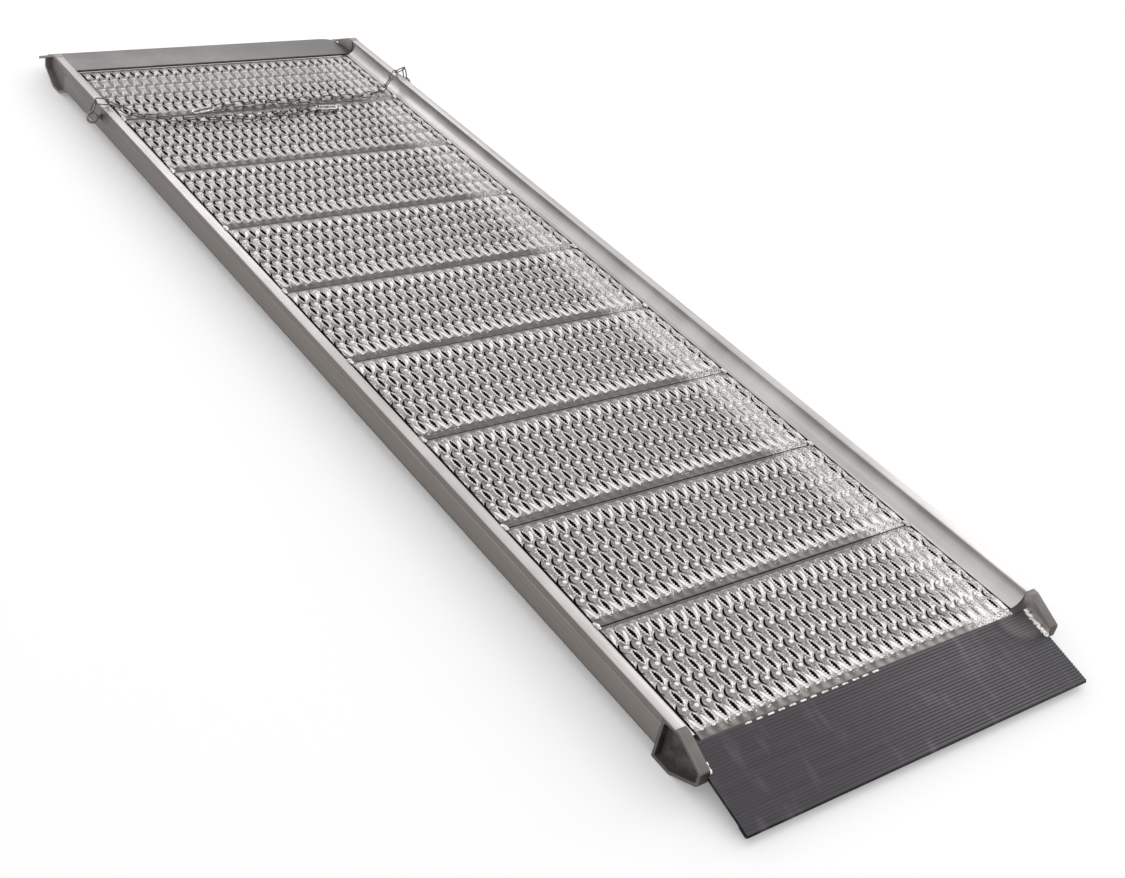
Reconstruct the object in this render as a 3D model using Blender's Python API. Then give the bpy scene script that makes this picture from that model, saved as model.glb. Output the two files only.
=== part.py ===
"""Aluminum walk ramp: nine serrated grating planks between two curb rails, with a ribbed toe plate,
a lip plate, four end feet and two safety chains with snap hooks.

Metres, +Z up. X runs across the ramp, Y along it, with the toe plate at -Y and the lip at +Y. The ramp
stands on its feet: the origin is on the floor, at the middle of the whole object.
"""
import math

import bmesh
import bpy
from mathutils import Matrix, Vector

# Deck of grating planks
PLANK_COUNT = 9
PLANK_PITCH = 0.2985
PLANK_JOINT = 0.0012
SHEET = 0.0025
DECK_WIDTH = 0.8174
END_NOTCH = 0.005
PLANK_MARGIN = 0.020
SLOT_ROWS = 5
SLOT_COLUMNS = 6
SLOT_LENGTH = 0.046
SLOT_WIDTH = 0.084

# Side rails: a hollow curb, open below
CURB_RISE = 0.035
RAIL_DROP = 0.028
STRIP_WIDTH = 0.0225
RAIL_WALL = 0.0032
LEDGE_RUN = 0.0311
LEDGE_FLAT = 0.0021
LEDGE_RISE = 0.0015
EDGE_ROUND = 0.0018
GROOVE_DEPTH = 0.0012
GROOVE_TOP = 0.022
GROOVE_HEIGHT = 0.010
NEAR_STRIP_STOP = 0.014
FAR_STRIP_REACH = 0.0205
WALL_STOP = 0.047

# End feet: a web with a rim around it
FOOT_DEPTH = 0.056
FOOT_RIM = 0.006
FOOT_POCKET = 0.014
FOOT_ROUND = 0.007
FOOT_SLOPE = math.radians(25)
NEAR_KNEE = -0.003
NEAR_FRONT = 0.064
NEAR_FRONT_LOW = -0.024
NEAR_SOLE_FRONT = -0.001
FAR_KNEE = 0.041
FAR_FRONT = 0.0985
FAR_FRONT_LOW = -0.022
FAR_SOLE_FRONT = 0.038
FAR_SOLE_LENGTH = 0.038
FAR_HEEL_RISE = 0.022
FAR_TIP_REACH = 0.1425
FAR_TIP_THICK = 0.007

# Toe plate, an extrusion with ribs across it
TOE_DROP = math.radians(12.7)
TOE_LENGTH = 0.180
TOE_START = 0.003
TOE_THICK = 0.0075
TOE_NOSE_DEPTH = 0.0105
TOE_NOSE_LENGTH = 0.020
RIB_PITCH = 0.00625
RIB_HEIGHT = 0.0012
RIB_WIDTH = 0.0034
RIB_SLANT = 0.0006

# Lip plate that lies on the dock
LIP_LENGTH = 0.142
LIP_THICK = 0.006
LIP_START = 0.005
LIP_DROP = math.radians(5.3)
LIP_CORNER = 0.045
LIP_SMALL_CORNER = 0.004

# Eyebolts through the rails' outer walls
EYE_RADIUS = 0.0125
EYE_WIRE = 0.0064
EYE_HEIGHT = 0.007
EYE_TILT = math.radians(30)
LEFT_EYE_FROM_FAR_END = 0.2865
RIGHT_EYE_FROM_FAR_END = 0.2245
SHANK_CLEARANCE = 0.0004
NUT_THICK = 0.005
NUT_ACROSS = 0.0115
WASHER_THICK = 0.0016
WASHER_RADIUS = 0.009
SHANK_TAIL = 0.003

# Chains
LINK_PITCH = 0.033
LINK_WIDTH = 0.019
LINK_WIRE = 0.0038
LINKS_IN_LEFT_SECTIONS = (4, 4, 4, 4, 4)
LINKS_IN_RIGHT_SECTIONS = (4, 4, 4, 4, 5)
BOW_FLAT = 0.42
FUSED_SHARE = 0.35
FREE_SHARE = 0.52
CHAIN_LIE = 0.0113
CREST_RISE = 0.012
CHAIN_ROLL = math.radians(45)
FIRST_ROLLS = (0.0, math.radians(62), math.radians(-42))
LAST_ROLL = math.radians(72)
ROUTE_SAMPLES = 24
EYE_LEAN = 0.003
# Places of the chains' routes: inwards from the cove's edge, along the ramp from the eye, and height
LEFT_CHAIN_OVER_CURB = ((-0.010, -0.002), (0.022, -0.010, 0.034), (0.050, -0.018, 0.017))
LEFT_CHAIN_ON_DECK = (
    (0.078, -0.030), (0.150, -0.055), (0.250, -0.076), (0.355, -0.084), (0.440, -0.078), (0.515, -0.066),
    (0.640, -0.064),
)
RIGHT_CHAIN_OVER_CURB = ((-0.010, -0.008), (0.022, -0.028, 0.034), (0.050, -0.046, 0.017))
RIGHT_CHAIN_ON_DECK = (
    (0.080, -0.061), (0.130, -0.074), (0.215, -0.077), (0.334, -0.070), (0.450, -0.065), (0.535, -0.068),
    (0.600, -0.078), (0.720, -0.086),
)

# Snap hooks
HOOK_WIRE = 0.006
HOOK_RADIUS = 0.009
HOOK_LENGTH = 0.062
HOOK_REAR_LIE = 0.0104
HOOK_NOSE_LIE = 0.0072
GATE_START = 0.017
GATE_END = 0.0476
GATE_SETBACK = 0.0015
GATE_SLOT = 0.0026
GATE_SLOT_LENGTH = 0.008
NOSE_GAP = 0.0006
TONGUE = 0.002
TONGUE_RADIUS = 0.0022
PIN_WIRE = 0.002
PIN_PROUD = 0.0003
SPRING_WIRE = 0.0015

# Clearances and steps of round pieces
GAP = 0.0003
OVERCUT = 0.001
ARC_STEPS = 6
ROUND_STEPS = 3
BOLT_SIDES = 10

DECK_LENGTH = PLANK_COUNT * PLANK_PITCH
DECK_EDGE = DECK_WIDTH / 2
RAIL_INNER = DECK_EDGE + LEDGE_RUN
RAIL_OUTER = RAIL_INNER + STRIP_WIDTH
TOE_NOSE_ROUND = TOE_NOSE_DEPTH / 3
TOE_REACH = GAP + TOE_LENGTH * math.cos(TOE_DROP) - (TOE_NOSE_ROUND + RIB_HEIGHT) * math.sin(TOE_DROP)
DECK_START = -(DECK_LENGTH + FAR_TIP_REACH - TOE_REACH) / 2
DECK_HEIGHT = FOOT_DEPTH
EYE_OUT = GAP + WASHER_THICK + GAP + NUT_THICK + GAP + EYE_RADIUS + EYE_WIRE / 2

YZ_PLANE = Matrix(((0, 0, 1, 0), (1, 0, 0, 0), (0, 1, 0, 0), (0, 0, 0, 1)))
XZ_PLANE = Matrix(((1, 0, 0, 0), (0, 0, -1, 0), (0, 1, 0, 0), (0, 0, 0, 1)))


def clear_scene():
    for obj in list(bpy.data.objects):
        bpy.data.objects.remove(obj, do_unlink=True)


def make_collection(name):
    collection = bpy.data.collections.new(name)
    bpy.context.scene.collection.children.link(collection)
    return collection


clear_scene()
RAMP = make_collection("walk_ramp")
CUTTERS = make_collection("cutters")
CUTTERS.hide_render = True


def material(name, colour, roughness, metallic=1.0):
    found = bpy.data.materials.get(name)
    if found:
        return found
    made = bpy.data.materials.new(name)
    made.use_nodes = True
    shader = made.node_tree.nodes["Principled BSDF"]
    shader.inputs["Base Color"].default_value = (*colour, 1.0)
    shader.inputs["Roughness"].default_value = roughness
    shader.inputs["Metallic"].default_value = metallic
    return made


def rail_finish():
    return material("mill_aluminium_rail", (0.36, 0.34, 0.32), 0.45)


def grating_finish():
    return material("bright_serrated_grating", (0.62, 0.61, 0.60), 0.30)


def foot_finish():
    return material("welded_foot", (0.28, 0.26, 0.25), 0.50)


def toe_finish():
    return material("ribbed_toe_plate", (0.22, 0.22, 0.25), 0.45)


def lip_finish():
    return material("smooth_lip_plate", (0.42, 0.42, 0.41), 0.45)


def chain_finish():
    return material("zinc_plated_chain", (0.50, 0.49, 0.44), 0.35)


def bolt_finish():
    return material("plated_steel_bolt", (0.34, 0.33, 0.31), 0.40)


def hook_finish():
    return material("bright_snap_hook", (0.60, 0.61, 0.65), 0.25)


def along(y):
    """World Y of a distance from the deck's near end."""
    return DECK_START + y


def above(z):
    """World Z of a height over the deck's surface."""
    return DECK_HEIGHT + z


def add_object(name, data, collection=None):
    obj = bpy.data.objects.new(name, data)
    (collection or RAMP).objects.link(obj)
    return obj


def finish(obj, finish_material, smooth=False):
    obj.data.materials.clear()
    obj.data.materials.append(finish_material)
    if smooth:
        obj.data.shade_smooth()
        obj.data.set_sharp_from_angle(angle=math.radians(40))
    return obj


def set_origin(obj, point):
    """Moves an object's origin to a point in world space; its shape stays where it is."""
    obj.data.transform(Matrix.Translation(-point))
    obj.location = point


def flat_curve(name, outline, thickness, frame):
    """A closed 2D outline, filled, and thickened evenly to both sides of its plane."""
    curve = bpy.data.curves.new(name, "CURVE")
    curve.dimensions = "2D"
    curve.fill_mode = "BOTH"
    curve.extrude = thickness / 2
    spline = curve.splines.new("POLY")
    spline.points.add(len(outline) - 1)
    for point, (x, y) in zip(spline.points, outline):
        point.co = (x, y, 0, 1)
    spline.use_cyclic_u = True
    obj = add_object(name, curve)
    obj.matrix_world = frame
    return obj


def tube_curve(name, points, wire, cyclic=False, resolution=2):
    curve = bpy.data.curves.new(name, "CURVE")
    curve.dimensions = "3D"
    curve.bevel_depth = wire / 2
    curve.bevel_resolution = resolution
    curve.use_fill_caps = not cyclic
    spline = curve.splines.new("POLY")
    spline.points.add(len(points) - 1)
    for point, place in zip(spline.points, points):
        point.co = (*place, 1)
    spline.use_cyclic_u = cyclic
    return add_object(name, curve)


def to_mesh(obj):
    """Turns an object with all its modifiers into a plain, welded mesh in world space."""
    bpy.context.view_layer.update()
    graph = bpy.context.evaluated_depsgraph_get()
    mesh = bpy.data.meshes.new_from_object(obj.evaluated_get(graph), depsgraph=graph)
    mesh.transform(obj.matrix_world)
    name = obj.name
    bpy.data.objects.remove(obj, do_unlink=True)
    shape = bmesh.new()
    shape.from_mesh(mesh)
    bmesh.ops.remove_doubles(shape, verts=shape.verts, dist=0.000005)
    bmesh.ops.recalc_face_normals(shape, faces=shape.faces)
    shape.to_mesh(mesh)
    shape.free()
    mesh.name = name
    return add_object(name, mesh)


def box(name, low, high):
    """A box between two corners, in world space."""
    mesh = bpy.data.meshes.new(name)
    shape = bmesh.new()
    bmesh.ops.create_cube(shape, size=1.0)
    low = Vector(low)
    high = Vector(high)
    bmesh.ops.scale(shape, vec=high - low, verts=shape.verts)
    bmesh.ops.translate(shape, vec=(low + high) / 2, verts=shape.verts)
    shape.to_mesh(mesh)
    shape.free()
    return add_object(name, mesh)


def rod(name, start, end, radius, sides=BOLT_SIDES):
    """A solid cylinder between two points, in world space."""
    start = Vector(start)
    end = Vector(end)
    mesh = bpy.data.meshes.new(name)
    shape = bmesh.new()
    bmesh.ops.create_cone(
        shape, cap_ends=True, segments=sides, radius1=radius, radius2=radius, depth=(end - start).length
    )
    turn = (end - start).to_track_quat("Z", "Y").to_matrix().to_4x4()
    bmesh.ops.transform(shape, matrix=Matrix.Translation((start + end) / 2) @ turn, verts=shape.verts)
    shape.to_mesh(mesh)
    shape.free()
    return add_object(name, mesh)


def combine(obj, others, operation):
    """Applies one Boolean per helper, then removes the helpers."""
    for other in others:
        other.hide_render = True
        other.display_type = "WIRE"
        RAMP.objects.unlink(other)
        CUTTERS.objects.link(other)
        modifier = obj.modifiers.new(operation.lower(), "BOOLEAN")
        modifier.operation = operation
        modifier.solver = "EXACT"
        modifier.object = other
    made = to_mesh(obj)
    for other in others:
        bpy.data.objects.remove(other, do_unlink=True)
    return made


def cut(obj, *others):
    return combine(obj, others, "DIFFERENCE")


def join(obj, *others):
    return combine(obj, others, "UNION")


def rounded(corners, radius, steps=ROUND_STEPS):
    """The outline with each marked corner replaced by an arc; a corner is (x, y) or (x, y, share)."""
    outline = []
    count = len(corners)
    for i, corner in enumerate(corners):
        here = Vector(corner[:2])
        share = corner[2] if len(corner) > 2 else 0.0
        if not share:
            outline.append(tuple(here))
            continue
        before = Vector(corners[i - 1][:2])
        after = Vector(corners[(i + 1) % count][:2])
        to_before = (before - here).normalized()
        to_after = (after - here).normalized()
        half = to_before.angle(to_after) / 2
        reach = min(radius * share / math.tan(half), (before - here).length / 2.2, (after - here).length / 2.2)
        start = here + to_before * reach
        end = here + to_after * reach
        for step in range(steps + 1):
            t = step / steps
            outline.append(tuple(start * (1 - t) ** 2 + here * 2 * t * (1 - t) + end * t**2))
    return outline


def inset(corners, distance):
    """The corners of the same outline moved inwards; the corners run anticlockwise."""
    moved = []
    count = len(corners)
    for i in range(count):
        a = Vector(corners[i - 1][:2])
        b = Vector(corners[i][:2])
        c = Vector(corners[(i + 1) % count][:2])
        first = (b - a).normalized()
        second = (c - b).normalized()
        n1 = Vector((-first.y, first.x))
        n2 = Vector((-second.y, second.x))
        half = (n1 + n2) / (1 + n1.dot(n2))
        moved.append((*(b + half * distance), *corners[i][2:]))
    return moved


def plank_mesh():
    """One grating plank, centred on X and starting at Y 0: a channel with a staggered field of slots."""
    depth = PLANK_PITCH - PLANK_JOINT
    profile = (
        (0, 0), (depth, 0), (depth, -RAIL_DROP), (depth - SHEET, -RAIL_DROP), (depth - SHEET, -SHEET),
        (SHEET, -SHEET), (SHEET, -RAIL_DROP), (0, -RAIL_DROP),
    )
    plank = to_mesh(flat_curve("plank", profile, DECK_WIDTH - 2 * GAP, YZ_PLANE))
    row_pitch = (depth - 2 * PLANK_MARGIN) / SLOT_ROWS
    column_pitch = (DECK_WIDTH - 2 * END_NOTCH) / (SLOT_COLUMNS + 0.5)
    cutter = bpy.data.meshes.new("slots")
    shape = bmesh.new()
    for half_step in range(2 * SLOT_COLUMNS - 1):
        x = (half_step - SLOT_COLUMNS + 1) * column_pitch / 2
        staggered = half_step % 2
        for row in range(SLOT_ROWS - staggered):
            y = PLANK_MARGIN + (row + 0.5 + staggered / 2) * row_pitch
            place = Matrix.Translation((x, y, -SHEET / 2)) @ Matrix.Diagonal((SLOT_WIDTH, SLOT_LENGTH, 1, 1))
            bmesh.ops.create_cone(
                shape, cap_ends=True, segments=4, radius1=0.5, radius2=0.5, depth=4 * SHEET, matrix=place
            )
    shape.to_mesh(cutter)
    shape.free()
    notches = [
        box(
            "end_notch",
            (side * DECK_EDGE - END_NOTCH, PLANK_MARGIN, -2 * SHEET),
            (side * DECK_EDGE + END_NOTCH, depth - PLANK_MARGIN, SHEET),
        )
        for side in (-1, 1)
    ]
    return cut(plank, add_object("slots", cutter), *notches).data


def planks():
    mesh = plank_mesh()
    source = bpy.data.objects["plank"]
    bpy.data.objects.remove(source, do_unlink=True)
    for number in range(PLANK_COUNT):
        # Plank 1 is the one beside the lip plate, plank 9 the one beside the toe plate.
        plank = add_object(f"grating_plank_{PLANK_COUNT - number}", mesh)
        plank.location = (0, along(number * PLANK_PITCH + PLANK_JOINT / 2), DECK_HEIGHT)
        finish(plank, grating_finish())


def rail_section(side):
    """The curb's cross section, from the outer wall over the strip and down the cove to the inner leg."""
    outer = RAIL_OUTER
    inner = RAIL_INNER
    edge = DECK_EDGE
    top = CURB_RISE
    cove = LEDGE_RUN - LEDGE_FLAT
    centre = (edge + LEDGE_FLAT, LEDGE_RISE + cove)
    groove = GROOVE_HEIGHT / 4
    points = [
        (outer, -RAIL_DROP),
        (outer, GROOVE_TOP - GROOVE_HEIGHT),
        (outer - GROOVE_DEPTH, GROOVE_TOP - GROOVE_HEIGHT + groove),
        (outer - GROOVE_DEPTH, GROOVE_TOP - groove),
        (outer, GROOVE_TOP),
        (outer, top - EDGE_ROUND),
        (outer - EDGE_ROUND, top),
        (inner + EDGE_ROUND, top),
        (inner, top - EDGE_ROUND),
    ]
    for step in range(ARC_STEPS + 1):
        turn = -math.pi / 2 * step / ARC_STEPS
        points.append((centre[0] + cove * math.cos(turn), centre[1] + cove * math.sin(turn)))
    points += [(edge, LEDGE_RISE), (edge, -RAIL_DROP), (edge + RAIL_WALL, -RAIL_DROP)]
    points.append((edge + RAIL_WALL, LEDGE_RISE - RAIL_WALL))
    back = cove + RAIL_WALL
    for step in range(1, ARC_STEPS + 1):
        turn = -math.pi / 2 * (1 - step / ARC_STEPS)
        points.append((centre[0] + back * math.cos(turn), centre[1] + back * math.sin(turn)))
    points += [
        (inner + RAIL_WALL, top - RAIL_WALL),
        (outer - RAIL_WALL, top - RAIL_WALL),
        (outer - RAIL_WALL, -RAIL_DROP),
    ]
    return [(side * x, z) for x, z in points]


def eye_place(side):
    """Y of the eyebolt from the deck's near end."""
    return DECK_LENGTH - (LEFT_EYE_FROM_FAR_END if side < 0 else RIGHT_EYE_FROM_FAR_END)


def rail(side, name):
    start = NEAR_STRIP_STOP
    end = DECK_LENGTH + FAR_STRIP_REACH
    frame = Matrix.Translation((0, along((start + end) / 2), DECK_HEIGHT)) @ XZ_PLANE
    made = to_mesh(flat_curve(name, rail_section(side), end - start, frame))
    wall_in = RAIL_OUTER - RAIL_WALL - GAP
    wall_out = RAIL_OUTER + OVERCUT
    xs = sorted((side * wall_in, side * wall_out))
    low = above(-RAIL_DROP - OVERCUT)
    high = above(CURB_RISE - RAIL_WALL + GAP / 2)
    near = box("near_wall_cut", (xs[0], along(start - OVERCUT), low), (xs[1], along(WALL_STOP), high))
    far = box(
        "far_wall_cut",
        (xs[0], along(DECK_LENGTH - WALL_STOP), low),
        (xs[1], along(end + OVERCUT), high),
    )
    # Beyond the deck only the strip goes on, over the foot; the cove makes room for the lip plate.
    xs = sorted((side * (DECK_EDGE - OVERCUT), side * (RAIL_INNER + RAIL_WALL + GAP)))
    cove = box(
        "far_cove_cut",
        (xs[0], along(DECK_LENGTH - PLANK_JOINT / 2), low),
        (xs[1], along(end + OVERCUT), high),
    )
    y = along(eye_place(side))
    z = above(EYE_HEIGHT)
    hole = rod(
        "eye_hole",
        (side * (RAIL_OUTER - 2 * RAIL_WALL), y, z),
        (side * (RAIL_OUTER + OVERCUT), y, z),
        EYE_WIRE / 2 + SHANK_CLEARANCE,
    )
    finish(cut(made, near, far, cove, hole), rail_finish())


def slope_height(out, knee):
    return CURB_RISE - math.tan(FOOT_SLOPE) * (out - knee)


def foot_corners(far):
    """The foot's body in (out, up), anticlockwise, without the step under the strip or the far tip."""
    under = CURB_RISE - RAIL_WALL - GAP
    heel = -WALL_STOP + GAP
    if far:
        knee, front, front_low, sole_front = FAR_KNEE, FAR_FRONT, FAR_FRONT_LOW, FAR_SOLE_FRONT
        sole_back = FAR_SOLE_FRONT - FAR_SOLE_LENGTH
        lower = [(sole_back, -FOOT_DEPTH, 1)]
        heel_low = [(heel, -FOOT_DEPTH + FAR_HEEL_RISE)]
    else:
        knee, front, front_low, sole_front = NEAR_KNEE, NEAR_FRONT, NEAR_FRONT_LOW, NEAR_SOLE_FRONT
        lower = []
        heel_low = [(heel, -FOOT_DEPTH)]
    body = heel_low + lower + [
        (sole_front, -FOOT_DEPTH, 1),
        (front, front_low, 1),
        (front, slope_height(front, knee), 1),
        (knee, CURB_RISE, 1),
    ]
    return body, knee, under, heel


def foot(side, far, name):
    body, knee, under, heel = foot_corners(far)
    step_out = (FAR_STRIP_REACH if far else -NEAR_STRIP_STOP) + GAP
    outline = list(body)
    if far:
        # The sloping rim runs on past the front as a thin tip.
        tip_low = FAR_TIP_THICK / math.cos(FOOT_SLOPE)
        front = outline.index((FAR_FRONT, slope_height(FAR_FRONT, knee), 1))
        outline[front:front + 1] = [
            (FAR_FRONT, slope_height(FAR_FRONT, knee) - tip_low, 0.5),
            (FAR_TIP_REACH, slope_height(FAR_TIP_REACH, knee) - tip_low, 0.5),
            (FAR_TIP_REACH, slope_height(FAR_TIP_REACH, knee), 0.5),
        ]
    outline += [(step_out, CURB_RISE), (step_out, under), (heel, under)]
    pocket = inset(body + [(heel, under, 1)], FOOT_RIM)
    direction = 1 if far else -1
    base = DECK_LENGTH if far else 0.0

    def plate(part, corners, centre, thickness):
        points = [(along(base + direction * out), above(up)) for out, up in rounded(corners, FOOT_ROUND)]
        frame = Matrix.Translation((side * centre, 0, 0)) @ YZ_PLANE
        return to_mesh(flat_curve(part, points, thickness, frame))

    made = plate(name, outline, RAIL_OUTER - STRIP_WIDTH / 2, STRIP_WIDTH)
    recess = plate("foot_recess", pocket, RAIL_OUTER + OVERCUT / 2 - FOOT_POCKET / 2, FOOT_POCKET + OVERCUT)
    xs = sorted((side * (RAIL_INNER - OVERCUT), side * (RAIL_INNER + RAIL_WALL + GAP)))
    ys = sorted((along(base + direction * step_out), along(base + direction * (heel - OVERCUT))))
    notch = box(
        "rail_notch", (xs[0], ys[0], above(-FOOT_DEPTH - OVERCUT)), (xs[1], ys[1], above(CURB_RISE + OVERCUT))
    )
    finish(cut(made, recess, notch), foot_finish())


def toe_plate():
    along_slope = Vector((math.cos(TOE_DROP), -math.sin(TOE_DROP)))
    up_slope = Vector((math.sin(TOE_DROP), math.cos(TOE_DROP)))

    def point(s, t):
        return Vector((GAP, TOE_START)) + s * along_slope + t * up_slope

    ribs = int((TOE_LENGTH - RIB_WIDTH) / RIB_PITCH)
    first = (TOE_LENGTH - ribs * RIB_PITCH) / 2
    outline = [(GAP, TOE_START - RIB_HEIGHT / up_slope.y)]
    for rib in range(ribs):
        s = first + (rib + 0.5) * RIB_PITCH
        outline.append(point(s - RIB_WIDTH / 2 - RIB_SLANT, -RIB_HEIGHT))
        outline.append(point(s - RIB_WIDTH / 2, 0))
        outline.append(point(s + RIB_WIDTH / 2, 0))
        outline.append(point(s + RIB_WIDTH / 2 + RIB_SLANT, -RIB_HEIGHT))
    nose = TOE_NOSE_ROUND
    outline += [
        point(TOE_LENGTH - nose, -RIB_HEIGHT),
        point(TOE_LENGTH, -nose - RIB_HEIGHT),
        point(TOE_LENGTH - nose, -TOE_NOSE_DEPTH),
        point(TOE_LENGTH - TOE_NOSE_LENGTH, -TOE_NOSE_DEPTH),
        point(TOE_LENGTH - 1.4 * TOE_NOSE_LENGTH, -TOE_THICK),
        point(TOE_THICK * math.tan(TOE_DROP), -TOE_THICK),
    ]
    points = [(along(-out), above(up)) for out, up in outline]
    plate = to_mesh(flat_curve("toe_plate", points, 2 * (RAIL_INNER - GAP), YZ_PLANE))
    finish(plate, toe_finish())


def lip_plate():
    half = RAIL_INNER - GAP
    corners = [(-half, 0), (half, 0), (half, LIP_LENGTH, 1), (-half, LIP_LENGTH, LIP_SMALL_CORNER / LIP_CORNER)]
    outline = rounded(corners, LIP_CORNER, steps=8)
    start = DECK_LENGTH - PLANK_JOINT / 2 + GAP + LIP_THICK * math.sin(LIP_DROP)
    frame = Matrix.Translation((0, along(start), above(LIP_START))) @ Matrix.Rotation(-LIP_DROP, 4, "X")
    frame = frame @ Matrix.Translation((0, 0, -LIP_THICK / 2))
    finish(to_mesh(flat_curve("lip_plate", outline, LIP_THICK, frame)), lip_finish())


def eye_centre(side):
    return Vector((side * (RAIL_OUTER + EYE_OUT), along(eye_place(side)), above(EYE_HEIGHT)))


def eye_up():
    """From the eye's centre towards the point where the chain hangs on."""
    return Vector((0, math.sin(EYE_TILT), math.cos(EYE_TILT)))


def eyebolt(side, word):
    centre = eye_centre(side)
    out = Vector((side, 0, 0))
    steps = 14
    ring = [
        centre + EYE_RADIUS * (math.cos(turn) * out + math.sin(turn) * eye_up())
        for turn in (2 * math.pi * step / steps for step in range(steps))
    ]
    eye = to_mesh(tube_curve(f"eyebolt_{word}", ring, EYE_WIRE, cyclic=True))
    inner_nut = RAIL_OUTER - RAIL_WALL - GAP - NUT_THICK
    tail = centre.copy()
    tail.x = side * (inner_nut - SHANK_TAIL)
    shank = rod("shank", centre - out * EYE_RADIUS, tail, EYE_WIRE / 2)
    finish(join(eye, shank), bolt_finish(), smooth=True)

    def ring_piece(name, start, thickness, radius, sides):
        a = Vector((side * start, centre.y, centre.z))
        b = a + out * thickness
        solid = rod(name, a, b, radius, sides)
        bore = rod("bore", a - out * OVERCUT, b + out * OVERCUT, EYE_WIRE / 2 + SHANK_CLEARANCE)
        finish(cut(solid, bore), bolt_finish())

    across = NUT_ACROSS / 2 / math.cos(math.pi / 6)
    ring_piece(f"inner_nut_{word}", inner_nut, NUT_THICK, across, 6)
    ring_piece(f"washer_{word}", RAIL_OUTER + GAP, WASHER_THICK, WASHER_RADIUS, 16)
    ring_piece(f"outer_nut_{word}", RAIL_OUTER + 2 * GAP + WASHER_THICK, NUT_THICK, across, 6)


def smooth_path(points, samples):
    """Points on a smooth curve through the given ones."""
    path = []
    last = len(points) - 1
    for i in range(last):
        p0 = points[max(i - 1, 0)]
        p1 = points[i]
        p2 = points[i + 1]
        p3 = points[min(i + 2, last)]
        for step in range(samples):
            t = step / samples
            path.append(
                0.5 * (2 * p1 + (p2 - p0) * t + (2 * p0 - 5 * p1 + 4 * p2 - p3) * t**2 + (3 * p1 - p0 - 3 * p2 + p3) * t**3)
            )
    path.append(points[-1])
    return path


def chain_route(side):
    """Where the chain runs: up from its eye, over the curb, and across the deck towards its hook."""
    eye = eye_centre(side) + eye_up() * EYE_RADIUS
    crest = CURB_RISE + CREST_RISE

    def spot(inward, shift, height):
        return Vector((side * (RAIL_INNER - inward), eye.y + shift, above(height)))

    above_eye = Vector((eye.x - side * EYE_LEAN, eye.y, above(crest)))
    on_deck = LEFT_CHAIN_ON_DECK if side < 0 else RIGHT_CHAIN_ON_DECK
    over_curb = LEFT_CHAIN_OVER_CURB if side < 0 else RIGHT_CHAIN_OVER_CURB
    path = [eye, above_eye, spot(over_curb[0][0], over_curb[0][1], crest)]
    path += [spot(*place) for place in over_curb[1:]]
    return path + [spot(inward, shift, CHAIN_LIE) for inward, shift in on_deck]


def section_links(side):
    return LINKS_IN_LEFT_SECTIONS if side < 0 else LINKS_IN_RIGHT_SECTIONS


def chain_points(side):
    """The places where one link hangs in the next, a link's pitch apart."""
    path = smooth_path(chain_route(side), ROUTE_SAMPLES)
    count = sum(section_links(side))
    places = [path[0]]
    for point in path[1:]:
        step = point - places[-1]
        if step.length >= LINK_PITCH:
            places.append(places[-1] + step.normalized() * LINK_PITCH)
        if len(places) == count + 1:
            break
    return places


def link_roll(side, number):
    if number < len(FIRST_ROLLS):
        return FIRST_ROLLS[number]
    roll = LAST_ROLL if number == sum(section_links(side)) - 1 else CHAIN_ROLL
    return roll if number % 2 else -roll


def link(name, start, end, start_hang, end_hang, roll):
    """One oval link: its bows reach past both places by the given amounts."""
    forward = (end - start).normalized()
    level = Vector((-forward.y, forward.x, 0))
    level = level.normalized() if level.length > 0.02 else Vector((0, 1, 0))
    width = math.cos(roll) * level + math.sin(roll) * forward.cross(level)
    half = (LINK_WIDTH - LINK_WIRE) / 2
    flat = width * half * BOW_FLAT
    bow = forward * half * (1 - BOW_FLAT)
    leg = width * half
    a = start - forward * start_hang
    b = end + forward * end_hang
    ring = [a - flat, a + flat, a + bow + leg, b - bow + leg, b + flat, b - flat, b - bow - leg, a + bow - leg]
    return to_mesh(tube_curve(name, ring, LINK_WIRE, cyclic=True, resolution=1))


def chain(side, word):
    places = chain_points(side)
    free = FREE_SHARE * LINK_WIRE
    fused = FUSED_SHARE * LINK_WIRE
    eye_hang = (EYE_WIRE + LINK_WIRE) / 2 + 2 * GAP
    number = 0
    for section, count in enumerate(section_links(side), start=1):
        links = []
        for k in range(count):
            start_hang = fused if k else free
            end_hang = fused if k < count - 1 else free
            if number == 0:
                start_hang = eye_hang
            ends = places[number:number + 2]
            links.append(link(f"link_{number}", *ends, start_hang, end_hang, link_roll(side, number)))
            number += 1
        made = join(*links)
        made.name = f"chain_{word}_{section}"
        set_origin(made, eye_centre(side) if section == 1 else places[number - count])
        finish(made, chain_finish(), smooth=True)
    return places


def hook_frame(places):
    """The hook's own frame: u forward from its rear bow, v across. Its nose lies lower than its bow."""
    level = places[-1] - places[-2]
    level.z = 0
    level.normalize()
    drop = math.asin((HOOK_REAR_LIE - HOOK_NOSE_LIE) / HOOK_LENGTH)
    forward = level * math.cos(drop) - Vector((0, 0, 1)) * math.sin(drop)
    across = Vector((0, 0, 1)).cross(level)
    up = forward.cross(across)
    hang = (HOOK_WIRE + LINK_WIRE) / 2 + 2 * GAP - FREE_SHARE * LINK_WIRE
    origin = places[-1] - level * hang
    origin.z = above(HOOK_REAR_LIE)
    frame = Matrix((forward, across, up)).transposed().to_4x4()
    frame.translation = origin
    return frame


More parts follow.
